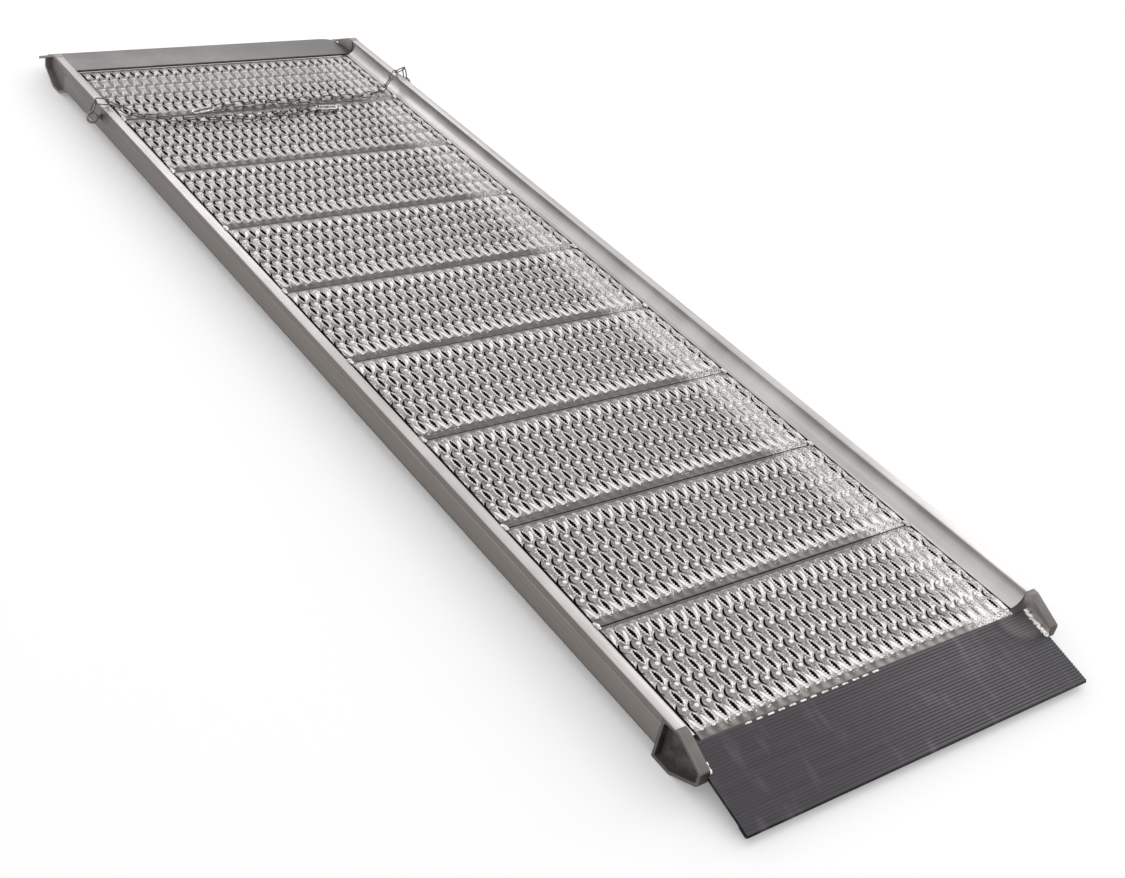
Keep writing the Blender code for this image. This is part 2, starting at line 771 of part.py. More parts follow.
def hook(side, word, places):
    frame = hook_frame(places)
    r = HOOK_RADIUS
    front = HOOK_LENGTH - r
    nose = GATE_END + NOSE_GAP

    def bow(centre, start, end):
        turns = [start + (end - start) * step / ARC_STEPS for step in range(ARC_STEPS + 1)]
        return [(centre + r * math.cos(t), r * math.sin(t)) for t in turns]

    rear_stop = GATE_START - GATE_SETBACK
    path = [(rear_stop, r)] + bow(r, math.pi / 2, 3 * math.pi / 2)
    path += bow(front, -math.pi / 2, math.pi / 2) + [(nose, r)]
    body = tube_curve(f"snap_hook_{word}", [frame @ Vector((u, v, 0)) for u, v in path], HOOK_WIRE)
    body = to_mesh(body)

    def local_box(name, low, high):
        solid = box(name, low, high)
        solid.data.transform(frame)
        return solid

    pivot = GATE_START + GATE_SETBACK
    tongue = local_box(
        "tongue",
        (rear_stop - TONGUE, r - TONGUE_RADIUS, -TONGUE / 2),
        (pivot, r + TONGUE_RADIUS, TONGUE / 2),
    )
    eye = rod(
        "tongue_end", frame @ Vector((pivot, r, -TONGUE / 2)), frame @ Vector((pivot, r, TONGUE / 2)), TONGUE_RADIUS, 12
    )
    half_pin = HOOK_WIRE / 2 + PIN_PROUD
    ends = [frame @ Vector((pivot, r, z)) for z in (-half_pin - OVERCUT, half_pin + OVERCUT)]
    body = join(body, join(tongue, eye))
    body = cut(body, rod("pin_hole", ends[0], ends[1], PIN_WIRE / 2 + GAP, 8))
    set_origin(body, frame.translation)
    finish(body, hook_finish(), smooth=True)
    bar = rod(
        f"hook_gate_{word}",
        frame @ Vector((GATE_START, r, 0)),
        frame @ Vector((GATE_END, r, 0)),
        HOOK_WIRE / 2,
    )
    slot = local_box(
        "gate_slot",
        (GATE_START - OVERCUT, r - HOOK_WIRE, -GATE_SLOT / 2),
        (GATE_START + GATE_SLOT_LENGTH, r + HOOK_WIRE, GATE_SLOT / 2),
    )
    gate = cut(bar, slot, rod("pin_hole", ends[0], ends[1], PIN_WIRE / 2 + GAP, 8))
    hinge = frame @ Vector((pivot, r, 0))
    set_origin(gate, hinge)
    finish(gate, hook_finish(), smooth=True)
    pin = rod(
        f"gate_pin_{word}",
        frame @ Vector((pivot, r, -half_pin)),
        frame @ Vector((pivot, r, half_pin)),
        PIN_WIRE / 2,
        8,
    )
    set_origin(pin, hinge)
    finish(pin, bolt_finish(), smooth=True)
    spring = rod(
        f"gate_spring_{word}",
        frame @ Vector((pivot + TONGUE_RADIUS + GAP, r, 0)),
        frame @ Vector((GATE_START + GATE_SLOT_LENGTH - GAP, r, 0)),
        SPRING_WIRE / 2,
        8,
    )
    set_origin(spring, hinge)
    finish(spring, bolt_finish(), smooth=True)


planks()
rail(-1, "left_rail")
rail(1, "right_rail")
foot(-1, False, "near_left_foot")
foot(1, False, "near_right_foot")
foot(-1, True, "far_left_foot")
foot(1, True, "far_right_foot")
toe_plate()
lip_plate()
for SIDE, WORD in ((-1, "left"), (1, "right")):
    eyebolt(SIDE, WORD)
    hook(SIDE, WORD, chain(SIDE, WORD))
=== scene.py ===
# %% [markdown]
# # An aluminium walk ramp
#
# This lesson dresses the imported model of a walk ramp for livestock: nine serrated planks between two
# curb rails, with a ribbed toe plate, a lip plate, four end feet and two safety chains. The CAD solids
# are the fixed frame. Each step either gives a CAD piece its finish, or puts a finer piece in its place.

import math

import bmesh
import bpy
from mathutils import Matrix, Vector


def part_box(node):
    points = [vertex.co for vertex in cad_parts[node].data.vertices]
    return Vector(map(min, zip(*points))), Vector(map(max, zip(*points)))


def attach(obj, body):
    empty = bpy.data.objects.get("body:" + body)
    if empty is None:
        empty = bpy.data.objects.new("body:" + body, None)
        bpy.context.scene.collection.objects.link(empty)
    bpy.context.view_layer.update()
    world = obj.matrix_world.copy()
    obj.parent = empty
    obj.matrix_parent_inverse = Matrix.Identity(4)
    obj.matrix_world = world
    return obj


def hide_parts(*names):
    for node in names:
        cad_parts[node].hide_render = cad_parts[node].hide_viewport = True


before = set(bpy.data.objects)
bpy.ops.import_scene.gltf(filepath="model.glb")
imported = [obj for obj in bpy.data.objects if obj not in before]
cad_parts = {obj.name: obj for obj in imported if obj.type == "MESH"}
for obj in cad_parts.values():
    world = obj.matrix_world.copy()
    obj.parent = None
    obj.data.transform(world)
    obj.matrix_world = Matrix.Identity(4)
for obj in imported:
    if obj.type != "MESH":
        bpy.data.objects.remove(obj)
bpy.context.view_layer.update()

# %% [markdown]
# ## The camera
#
# The camera comes first. It looks down along the ramp from over its left rail. The picture was taken with
# the ramp propped up, so here, where the ramp lies level, the camera leans over instead.

# %% The camera
CAMERA_PLACE = Vector((-1.97815, -2.51204, 1.85216))
CAMERA_ANGLES = (55.7852, -11.30955, -35.45352)
CAMERA_LENS = 50.575
camera_data = bpy.data.cameras.new("camera")
camera_data.sensor_width = 36
camera_data.lens = CAMERA_LENS
camera_data.clip_end = 50
camera = bpy.data.objects.new("camera", camera_data)
bpy.context.scene.collection.objects.link(camera)
camera.location = CAMERA_PLACE
camera.rotation_euler = [math.radians(angle) for angle in CAMERA_ANGLES]
bpy.context.scene.camera = camera
print("the camera stands", round(CAMERA_PLACE.length, 2), "m from the ramp's middle")

# %% [markdown]
# ## Bench tools
#
# Blender's operators act on whatever is selected, and loading the model leaves it selected. So these small
# helpers first clear the selection, and then select faces, edges or points by where they are.


# %% Selecting and editing
def deselect():
    for obj in bpy.context.selected_objects:
        obj.select_set(False)


def make_active(obj):
    deselect()
    obj.select_set(True)
    bpy.context.view_layer.objects.active = obj


def start_editing(obj, mode="VERT"):
    make_active(obj)
    bpy.ops.object.mode_set(mode="EDIT")
    bpy.ops.mesh.select_mode(type=mode)


def stop_editing():
    bpy.ops.object.mode_set(mode="OBJECT")


def select_points(obj, test):
    """In edit mode, selects the points whose place passes the test."""
    shape = bmesh.from_edit_mesh(obj.data)
    for vert in shape.verts:
        vert.select_set(test(vert.co))
    shape.select_flush_mode()
    bmesh.update_edit_mesh(obj.data)


def move_selected(obj, rule):
    """In edit mode, moves each selected point to where the rule says."""
    shape = bmesh.from_edit_mesh(obj.data)
    for vert in shape.verts:
        if vert.select:
            vert.co = rule(vert.co)
    bmesh.update_edit_mesh(obj.data)


# %% [markdown]
# A modifier could stay on its object, but an applied one leaves a plain mesh that the next step can edit.
# A finished piece sits at the origin with its place in its mesh, as the CAD nodes do, and `hand_over` then
# says what it is made of, what it moves with and which nodes it stands for.


# %% Finishing a piece
def modify(obj, kind, **settings):
    """Adds one modifier and applies it at once."""
    make_active(obj)
    modifier = obj.modifiers.new(kind.lower(), kind)
    for name, value in settings.items():
        setattr(modifier, name, value)
    bpy.ops.object.modifier_apply(modifier=modifier.name)


def settle(obj):
    """Puts the object's place into its mesh, so that the object itself sits at the origin."""
    bpy.context.view_layer.update()
    obj.data.transform(obj.matrix_world)
    obj.matrix_world = Matrix.Identity(4)
    return obj


def merge(obj, distance=0.00002):
    """Joins points that lie on each other, and turns all faces the same way."""
    start_editing(obj)
    bpy.ops.mesh.select_all(action="SELECT")
    bpy.ops.mesh.remove_doubles(threshold=distance)
    bpy.ops.mesh.normals_make_consistent(inside=False)
    stop_editing()
    return obj


def smooth(obj, degrees):
    """Smooth shading, with a hard edge where two faces meet at more than the angle."""
    make_active(obj)
    bpy.ops.object.shade_smooth_by_angle(angle=math.radians(degrees))
    return obj


# %% Joining, copying and handing over
def join_pieces(objects, name):
    deselect()
    for obj in objects:
        obj.select_set(True)
    bpy.context.view_layer.objects.active = objects[0]
    bpy.ops.object.join()
    objects[0].name = name
    objects[0].data.name = name
    return objects[0]


def triangles(obj):
    return sum(len(face.vertices) - 2 for face in obj.data.polygons)


def place_copy(obj, name, matrix):
    """A copy with a mesh of its own, already moved to its place."""
    made = obj.copy()
    made.data = obj.data.copy()
    made.name = name
    made.data.name = name
    made.data.transform(matrix)
    bpy.context.scene.collection.objects.link(made)
    return made


def remove(obj):
    bpy.data.objects.remove(obj, do_unlink=True)


def hand_over(obj, body, slot, finish, *replaced):
    """The last step of each piece: its finish, its body, and the nodes it stands for. The slot is not used.
    """
    obj.data.materials.clear()
    obj.data.materials.append(finish)
    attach(obj, body)
    if replaced:
        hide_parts(*replaced)


# %% [markdown]
# ## Finishes
#
# A finish is built from nodes, and sums on node sockets are easier to read as sums. `Value` wraps one
# socket, and adding or multiplying values adds the Math nodes behind the scenes. `Nodes` has one method
# that makes any other node, for a material and for the world alike, and `Finish` starts with a metal.


# %% Sums on sockets
class Value:
    """One number on a node's socket."""

    def __init__(self, nodes, socket):
        self.nodes = nodes
        self.socket = socket

    def sum(self, operation, *others, clamp=False):
        settings = {"operation": operation, "use_clamp": clamp}
        made = self.nodes.node("ShaderNodeMath", settings, dict(enumerate((self, *others))))
        return Value(self.nodes, made.outputs[0])

    def __add__(self, other):
        return self.sum("ADD", other)

    def __mul__(self, other):
        return self.sum("MULTIPLY", other)

    def __sub__(self, other):
        return self.sum("SUBTRACT", other)

    def __rsub__(self, other):
        return (self * -1) + other

    __radd__ = __add__
    __rmul__ = __mul__

    def ramp(self, low, high):
        """Rises from 0 at low to 1 at high, and stays between them."""
        return ((self - low) * (1 / (high - low))).sum("ADD", 0, clamp=True)

    def band(self, middle, half):
        """1 at the middle, falling to 0 at half a width to each side."""
        return 1 - (self - middle).sum("ABSOLUTE").ramp(0, half)


# %% Nodes of one tree
class Nodes:
    """Makes nodes in a material's tree or in the world's."""

    def __init__(self, tree):
        self.tree = tree

    def feed(self, made, socket, value):
        """Links a value to a node's input, or writes a number or colour there."""
        if isinstance(value, Value):
            value = value.socket
        if isinstance(value, bpy.types.NodeSocket):
            self.tree.links.new(value, made.inputs[socket])
        else:
            made.inputs[socket].default_value = value

    def node(self, kind, settings, values):
        made = self.tree.nodes.new(kind)
        for name, value in settings.items():
            setattr(made, name, value)
        for socket, value in values.items():
            self.feed(made, socket, value)
        return made

    def axes(self, vector):
        """The X, Y and Z of a vector."""
        parts = self.node("ShaderNodeSeparateXYZ", {}, {0: vector})
        return [Value(self, parts.outputs[i]) for i in range(3)]

    def mix(self, share, first, second):
        """A colour between two colours."""
        return self.node("ShaderNodeMix", {"data_type": "RGBA"}, {0: share, 6: first, 7: second}).outputs[2]

    def background_rays(self):
        """1 for what the camera sees, and for what shows in metal or through glass."""
        rays = self.node("ShaderNodeLightPath", {}, {})
        names = ("Is Camera Ray", "Is Glossy Ray", "Is Transmission Ray")
        camera_ray, glossy_ray, inner_ray = (Value(self, rays.outputs[name]) for name in names)
        return camera_ray.sum("MAXIMUM", glossy_ray).sum("MAXIMUM", inner_ray)


# %% One metal finish
class Finish(Nodes):
    """A metal with its own nodes, read in the object's own coordinates."""

    def __init__(self, name, metallic=1.0):
        self.material = bpy.data.materials.new(name)
        self.material.use_nodes = True
        super().__init__(self.material.node_tree)
        self.shader = self.tree.nodes["Principled BSDF"]
        self.set("Metallic", metallic)
        self.place = self.node("ShaderNodeTexCoord", {}, {}).outputs["Object"]
        self.x, self.y, self.z = self.axes(self.place)

    def set(self, socket, value):
        self.feed(self.shader, socket, value)

    def stretched(self, x, y, z):
        """The object's coordinates, scaled by axis."""
        return self.node("ShaderNodeMapping", {}, {"Vector": self.place, "Scale": (x, y, z)}).outputs[0]

    def noise(self, where, scale=1.0, detail=3.0):
        values = {"Vector": where, "Scale": scale, "Detail": detail, "Roughness": 0.55}
        return Value(self, self.node("ShaderNodeTexNoise", {}, values).outputs["Fac"])

    def normal(self, way):
        """How much the surface faces along X, Y or Z."""
        facing = self.node("ShaderNodeNewGeometry", {}, {}).outputs["Normal"]
        return self.axes(facing)["XYZ".index(way)]

    def spot(self, across, along, middle, radii):
        """1 inside an ellipse, falling softly to 0 at its rim."""
        a = (across - middle[0]) * (1 / radii[0])
        b = (along - middle[1]) * (1 / radii[1])
        return (1 - (a * a + b * b)).ramp(0, 0.5)

    def bump(self, height, depth):
        made = self.node("ShaderNodeBump", {}, {"Strength": 1.0, "Distance": depth, "Height": height})
        self.set("Normal", made.outputs[0])


LEAST_WARMTH = 0.030


def grey(level, warmth=0.0):
    """A metal's colour: one level, with more red and less blue as it is warmer."""
    warmth = warmth + LEAST_WARMTH
    return (level * (1 + warmth), level * 0.992, level * (1 - 0.85 * warmth), 1.0)


# %% [markdown]
# The rails are mill-finish extrusions. Drawing metal through a die leaves long fine lines, so the noise
# is stretched along the ramp. Faces that look up get a painted highlight, streaked along those lines. The
# outer walls are rougher and brownish, and painted darker as painted shade, with more painted shade in the
# groove, a painted shadow line under the curb's top edge and a darker band along the wall's foot. The
# ledge that the planks rest on is in shade in the gap beside them, so it is nearly black.

# %% The rails' finish
DECK_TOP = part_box("grating_plank_5")[1].z
WALL_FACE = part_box("right_rail")[1].x
DECK_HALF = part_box("right_rail")[0].x
RAIL_DROP = 0.028
CURB_RISE = 0.035
GROOVE_RISE = 0.0175
GROOVE_REACH = 0.008


def rail_finish():
    made = Finish("mill_aluminium")
    lines = made.noise(made.stretched(160, 1.5, 160), detail=4)
    patches = made.noise(made.stretched(9, 2.5, 9), detail=5)
    across = made.x.sum("ABSOLUTE")
    outer = across.ramp(WALL_FACE - 0.0022, WALL_FACE - 0.0008)
    groove = made.z.band(DECK_TOP + GROOVE_RISE, GROOVE_REACH) * outer
    lowest = 1 - made.z.ramp(DECK_TOP - RAIL_DROP, DECK_TOP - 0.75 * RAIL_DROP)
    top_line = made.z.band(DECK_TOP + CURB_RISE - 0.0025, 0.0018) * outer
    up = made.normal("Z").ramp(0.2, 0.9)
    colour = made.mix(patches.ramp(0.35, 0.75), grey(0.44, 0.01), grey(0.60, 0.0))
    # The outer wall's colour: brownish, and painted darker as painted shade.
    brownish_shaded = made.mix(lines.ramp(0.3, 0.7), grey(0.200, 0.075), grey(0.225, 0.065))
    bands = made.noise(made.stretched(0.6, 7, 0.6), detail=3)
    colour = made.mix(bands.ramp(0.62, 0.38) * 0.55, colour, grey(0.26, 0.02))
    colour = made.mix(outer, colour, brownish_shaded)
    # Painted shade in the groove.
    colour = made.mix(groove * 0.30, colour, grey(0.12, 0.10))
    # A painted shadow line under the curb's top edge, and a darker band along the wall's foot.
    colour = made.mix((lowest * outer).sum("MAXIMUM", top_line) * 0.55, colour, grey(0.09, 0.1))
    # A painted highlight on faces that look up.
    colour = made.mix(up * (0.35 + lines.ramp(0.4, 0.7) * 0.4), colour, grey(0.68, 0.0))
    colour = made.mix(made.y.ramp(-0.2, 1.4) * 0.45, colour, grey(0.16, 0.02))
    beside_deck = across.ramp(DECK_HALF + 0.0018, DECK_HALF + 0.0003)
    ledge = beside_deck * made.z.ramp(DECK_TOP + 0.004, DECK_TOP + 0.002)
    colour = made.mix(ledge, colour, grey(0.012, 0.05))
    made.set("Base Color", colour)
    made.set("Roughness", 0.34 + patches * 0.16 + outer * 0.08)
    made.bump(lines * 0.6 + patches * 0.4, 0.00012)
    return made.material


mill_aluminium = rail_finish()
print("finish:", mill_aluminium.name)

# %% [markdown]
# The planks are punched from bright sheet. Painted highlights lie along the teeth of each slit, on the
# shoulder beside it and on a dot between two rows, and a patch of painted shade lies behind the dot. The
# marks could be painted by hand, but there are 1400 slits, so this finish follows the same pattern as the
# punching. `u` and `v` are the place beside the middle of the nearest slit, across and along the ramp, and
# a mark is a soft ellipse there.

# %% Sizes of the grating
PLANKS = 9
PLANK_PITCH = 0.2985
HALF_JOINT = 0.0006
PLANK_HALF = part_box("grating_plank_5")[1].x
COLUMN = 0.0274
ROW = 0.055
COLUMNS = 31
ROWS = 5
HALF_COLUMN = COLUMN / 2
HALF_ROW = ROW / 2
MARGIN = (PLANK_PITCH - ROWS * ROW) / 2
FIELD_END = 0.4045
SLIT_REACH = 0.0190
SLIT_HALF = 0.0052
SLIT_ROUND = 0.75
TOOTH_PITCH = 0.0056


def plank_start(number):
    """Where a plank's share of the deck starts, half a joint before its sheet."""
    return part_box(f"grating_plank_{number}")[0].y - HALF_JOINT


print("a plank's rows take", round(ROWS * ROW, 3), "m and each margin", round(MARGIN, 4), "m")


# %% The grating's finish
def grating_finish():
    made = Finish("serrated_sheet")
    u = made.x.sum("WRAP", HALF_COLUMN, -HALF_COLUMN)
    u_next = (made.x - HALF_COLUMN).sum("WRAP", HALF_COLUMN, -HALF_COLUMN)
    row = (made.y - (plank_start(PLANKS) + MARGIN)).sum("WRAP", PLANK_PITCH, 0) * (1 / ROW)
    v = (row.sum("FRACT") - 0.5) * ROW
    beyond = v.sum("WRAP", ROW, 0) - HALF_ROW
    inside = row.ramp(ROWS + 0.02, ROWS)
    near_row = row.ramp(1.0, 0.98)
    far_row = row.ramp(ROWS - 1.02, ROWS - 1.0) * inside
    past_middle = v.ramp(-0.004, 0.0)
    between = 1 - near_row * (1 - past_middle) - far_row * past_middle
    patches = made.noise(made.place, scale=14, detail=5)
    speckle = made.noise(made.stretched(1, 0.6, 1), scale=420, detail=3)
    grain = made.noise(made.place, scale=900, detail=3)
    flecks = made.noise(made.place, scale=190, detail=2).ramp(0.62, 0.68)
    right_end = made.x.ramp(0.27, 0.33) * speckle.ramp(0.42, 0.55)

    reach = v * (1 / SLIT_REACH)
    lens = (1 - reach * reach).sum("MAXIMUM", 0).sum("POWER", SLIT_ROUND) * SLIT_HALF
    # Painted highlights along the teeth of each slit.
    rim = (u.sum("ABSOLUTE") - lens - 0.0004).band(0.0002, 0.0024).ramp(0, 0.4)
    rim = rim * v.sum("ABSOLUTE").ramp(SLIT_REACH + 0.0010, SLIT_REACH - 0.0010)
    dashes = (v * (2 * math.pi / TOOTH_PITCH)).sum("COSINE").ramp(0.5, -0.3)
    teeth = rim * (0.4 + dashes * 0.6)
    # Painted highlights: a dot between two rows, the shoulder, a strand, streaks along the first and last
    # rows and the near end of the first row. The patch behind the dot is painted shade.
    dot = made.spot(u, beyond, (-0.0045, 0.0015), (0.0052, 0.0048)) * between
    patch = made.spot(u, beyond, (-0.0035, 0.0118), (0.0095, 0.0085)) * between
    shoulder = made.spot(u, v, (0.0078, -0.0075), (0.0026, 0.0085)) * speckle.ramp(0.4, 0.55)
    strand = made.spot(u - (v + 0.013) * 0.43, v, (0.0038, -0.0130), (0.0014, 0.0100)) * between
    far_streak = made.spot(u_next - v * 0.3, v, (-0.0005, 0.0015), (0.0036, 0.0140)) * far_row
    near_streak = made.spot(u_next + v * 0.36, v, (0.0005, -0.0060), (0.0038, 0.0150)) * near_row
    near_end = made.spot(u, v, (-0.0060, -0.0195), (0.0045, 0.0028)) * near_row
    marks = (dot, flecks * 0.75, shoulder, strand * 0.9, far_streak, near_streak, near_end, right_end * 0.8)
    bright = teeth
    for mark in marks:
        bright = bright.sum("MAXIMUM", mark)
    bright = bright * (inside + right_end).sum("MINIMUM", 1)

    # Painted shade, nearly black: faces that look down, the sheet below the deck and the plank's ends by the
    # rails.
    under = made.normal("Z").ramp(0.12, -0.05)
    below = made.z.ramp(DECK_TOP - 0.0026, DECK_TOP - 0.0042)
    colour = made.mix(patches.ramp(0.3, 0.7), grey(0.21, 0.02), grey(0.29, 0.01))
    colour = made.mix(speckle.ramp(0.45, 0.7) * 0.7, colour, grey(0.50, 0.01))
    colour = made.mix(speckle.ramp(0.48, 0.30) * 0.7, colour, grey(0.10, 0.03))
    margins = made.mix(patches.ramp(0.3, 0.7), grey(0.12, 0.02), grey(0.18, 0.02))
    colour = made.mix(1 - inside, colour, margins)
    # A patch of painted shade behind each dot.
    colour = made.mix(patch * 0.8, colour, grey(0.12, 0.04))
    end = near_row * v.ramp(-0.0160, -0.0225) * (1 - near_end)
    colour = made.mix(end, colour, grey(0.14, 0.02))
    # The bright marks go nearly white: the painted highlights, random flecks and a bright speckle towards the
    # right end.
    colour = made.mix(bright, colour, grey(1.0, 0.0))
    edge = made.x.sum("ABSOLUTE").ramp(FIELD_END - 0.0005, FIELD_END + 0.0015)
    painted_shade = under.sum("MAXIMUM", below).sum("MAXIMUM", edge * 0.93)
    colour = made.mix(painted_shade, colour, grey(0.010, 0.05))
    colour = made.mix(made.y.ramp(-0.2, 1.3) * 0.54, colour, grey(0.10, 0.03))
    made.set("Base Color", colour)
    made.set("Metallic", 1 - bright * (1 - painted_shade) * 0.85)
    made.set("Roughness", 0.30 + grain * 0.10)
    made.bump(speckle, 0.00025)
    return made.material


serrated_sheet = grating_finish()
print("finish:", serrated_sheet.name)

# %% [markdown]
# The feet are castings: rough, dark and unevenly stained, and the dark is partly painted shade. They are
# lighter on the rim by the outer wall, and faces that look up and their inner faces get painted light. The
# toe plate is an extrusion that has gone nearly black, with shoes' scuffs, painted highlights on its rib
# crests and a painted sheen near its top right corner. A crest is found by its height over the plate's
# slope, so no rib needs a material of its own. The lip plate is plain rolled plate with fine scratches.


# %% The feet's finish
def foot_finish():
    made = Finish("cast_foot")
    stains = made.noise(made.place, scale=38, detail=6)
    grain = made.noise(made.place, scale=420, detail=3)
    across = made.x.sum("ABSOLUTE")
    rim = across.ramp(WALL_FACE - 0.004, WALL_FACE - 0.001)
    # The dark tone is partly painted shade.
    colour = made.mix(stains.ramp(0.35, 0.7), grey(0.050, 0.10), grey(0.115, 0.06))
    # Lighter on the rim by the outer wall, and painted light on faces that look up and on the inner faces.
    colour = made.mix(rim * 0.5, colour, grey(0.20, 0.03))
    colour = made.mix(made.normal("Z").ramp(0.3, 0.9) * 0.5, colour, grey(0.30, 0.02))
    inner = (made.normal("X") * made.x.sum("SIGN")).ramp(-0.3, -0.9)
    colour = made.mix(inner * 0.85, colour, grey(0.46, 0.03))
    colour = made.mix(made.y.ramp(0, 0.5) * 0.5, colour, grey(0.27, 0.03))
    made.set("Base Color", colour)
    made.set("Roughness", 0.42 + stains * 0.15)
    made.bump(grain * 0.6 + stains, 0.0003)
    return made.material


cast_foot = foot_finish()
print("finish:", cast_foot.name)


# %% The toe plate's finish
TOE_DROP = math.radians(12.7)


def toe_finish():
    made = Finish("ribbed_plate")
    stains = made.noise(made.stretched(4, 10, 10), detail=6)
    lines = made.noise(made.stretched(2, 700, 700), detail=2)
    scuffs = made.noise(made.stretched(30, 9, 9), detail=6).ramp(0.56, 0.80)
    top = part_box("toe_plate")[1]
    over_plane = (made.z - top.z + (top.y - made.y) * math.tan(TOE_DROP)) * math.cos(TOE_DROP)
    crest = over_plane.ramp(-0.0009, -0.0004)
    colour = made.mix(stains.ramp(0.3, 0.7), (0.015, 0.014, 0.016, 1), (0.029, 0.027, 0.030, 1))
    # Painted highlights on the rib crests.
    colour = made.mix(crest * (0.30 + lines * 0.6), colour, (0.125, 0.118, 0.127, 1))
    # A painted sheen near the top right corner.
    painted_sheen = made.spot(made.x, made.y, (top.x - 0.035, top.y - 0.014), (0.06, 0.05)) * stains.ramp(0.35, 0.55)
    colour = made.mix(painted_sheen * 0.4, colour, (0.30, 0.29, 0.29, 1))
    colour = made.mix(scuffs * 0.4, colour, (0.21, 0.20, 0.20, 1))
    made.set("Base Color", colour)
    made.set("Roughness", 0.36 + stains * 0.18)
    made.bump(lines, 0.00008)
    return made.material


ribbed_plate = toe_finish()
print("finish:", ribbed_plate.name)


# %% The lip plate's finish
def lip_finish():
    made = Finish("rolled_plate")
    patches = made.noise(made.place, scale=11, detail=5)
    scratches = made.noise(made.stretched(12, 260, 60), detail=3)
    colour = made.mix(patches.ramp(0.3, 0.7), grey(0.09, 0.02), grey(0.15, 0.01))
    colour = made.mix(scratches.ramp(0.62, 0.8) * 0.3, colour, grey(0.4, 0.0))
    colour = made.mix(made.x.ramp(0.0, 0.40) * 0.5, colour, grey(0.06, 0.03))
    made.set("Base Color", colour)
    made.set("Roughness", 0.34 + patches * 0.14)
    made.bump(scratches, 0.00008)
    return made.material


rolled_plate = lip_finish()
print("finish:", rolled_plate.name)

# %% [markdown]
# The small steel is plated: the chain yellowish and worn bright where the links rub, the snap hooks
# bright, the bolts and nuts duller. Weld metal is bright where it has been brushed, and sooty beside. One
# function makes all four, because they differ only in brightness, warmth, roughness and dirt.


# %% The small metal's finishes
def plated(name, low, high, warmth, roughness, dirt):
    made = Finish(name)
    patches = made.noise(made.place, scale=130, detail=4)
    grain = made.noise(made.place, scale=900, detail=2)
    colour = made.mix(patches.ramp(0.35, 0.65), grey(low, warmth), grey(high, warmth))
    colour = made.mix(grain.ramp(0.55, 0.75) * dirt, colour, grey(0.05, 0.2))
    made.set("Base Color", colour)
    made.set("Roughness", roughness + patches * 0.12)
    made.bump(grain, 0.00004)
    return made.material


chain_steel = plated("zinc_chain", 0.045, 0.27, 0.07, 0.20, 0.7)
hook_steel = plated("bright_snap_hook", 0.34, 0.66, -0.04, 0.16, 0.4)
bolt_steel = plated("plated_bolt", 0.12, 0.32, 0.06, 0.26, 0.5)
weld_metal = plated("weld_bead", 0.45, 0.95, 0.0, 0.26, 0.3)
print("finishes:", chain_steel.name, hook_steel.name, bolt_steel.name, weld_metal.name)

# %% [markdown]
# ## The planks
#
# Each plank is one sheet, pressed into rows of mounds. Every mound is slit along its top, and the slit's
# raised lips are cut into teeth. A narrower slot with its edges turned down lies between four mounds.
# Slits cut into a flat sheet with Booleans would leave ragged faces and no raised lips. But diamonds laid
# edge to edge cover such a staggered field exactly, one slot in each. So one diamond is modelled: a circle
# of four points is a diamond, its edges are subdivided, and its rim is extruded inwards.

# %% Sizes of the mounds
CUTS = 5
MOUND_WIDTH = 0.0122
MOUND_LENGTH = 0.0236
SHOULDER_WIDTH = 0.0080
SHOULDER_LENGTH = 0.0210
SLIT_WIDTH = 0.0050
SLIT_LENGTH = 0.0186
FIELD_HEIGHT = 0.0044
FIELD_FALL = 0.023
DIP = 0.0021
LIP_HEIGHT = 0.0008
TOOTH = 0.0010
SHEET = 0.0016
MARGIN_LEVEL = -0.0014
MARGIN_BEND = 0.004
TAB_REACH = 0.006
LAP = 0.0005
NO_SIDE = 1e-6
LEVEL = 0.001


# %% The sheet's height
def ease(t):
    """A smooth step from 0 to 1."""
    t = min(1, max(0, t))
    return t * t * (3 - 2 * t)


def mound(x, y):
    """1 on a mound at the origin, level with the slit's edge, falling to 0 at the mound's foot."""
    near, far = 0.0, 1.0
    for _ in range(12):
        t = (near + far) / 2
        width = SLIT_WIDTH + (MOUND_WIDTH - SLIT_WIDTH) * t
        length = SLIT_LENGTH + (MOUND_LENGTH - SLIT_LENGTH) * t
        if math.hypot(x / width, y / length) > 1:
            near = t
        else:
            far = t
    return ease(1 - (near + far) / 2)


def field(y):
    """The strands' height, y from the middle of a row: they dip between the rows."""
    return FIELD_HEIGHT - DIP * (0.5 - 0.5 * math.cos(2 * math.pi * y / ROW)) ** 3


print("a plank has", COLUMNS * ROWS, "toothed slots and", (COLUMNS - 1) * (ROWS - 1), "plain ones")


# %% One diamond of sheet
def diamond(name):
    """The diamond's edge, with all its points selected, in edit mode."""
    deselect()
    bpy.ops.mesh.primitive_circle_add(vertices=4, radius=1, fill_type="NOTHING")
    obj = bpy.context.object
    obj.name = name
    start_editing(obj, "EDGE")
    bpy.ops.mesh.select_all(action="SELECT")
    bpy.ops.transform.resize(value=(HALF_COLUMN, HALF_ROW, 1))
    bpy.ops.mesh.subdivide(number_cuts=CUTS)
    return obj


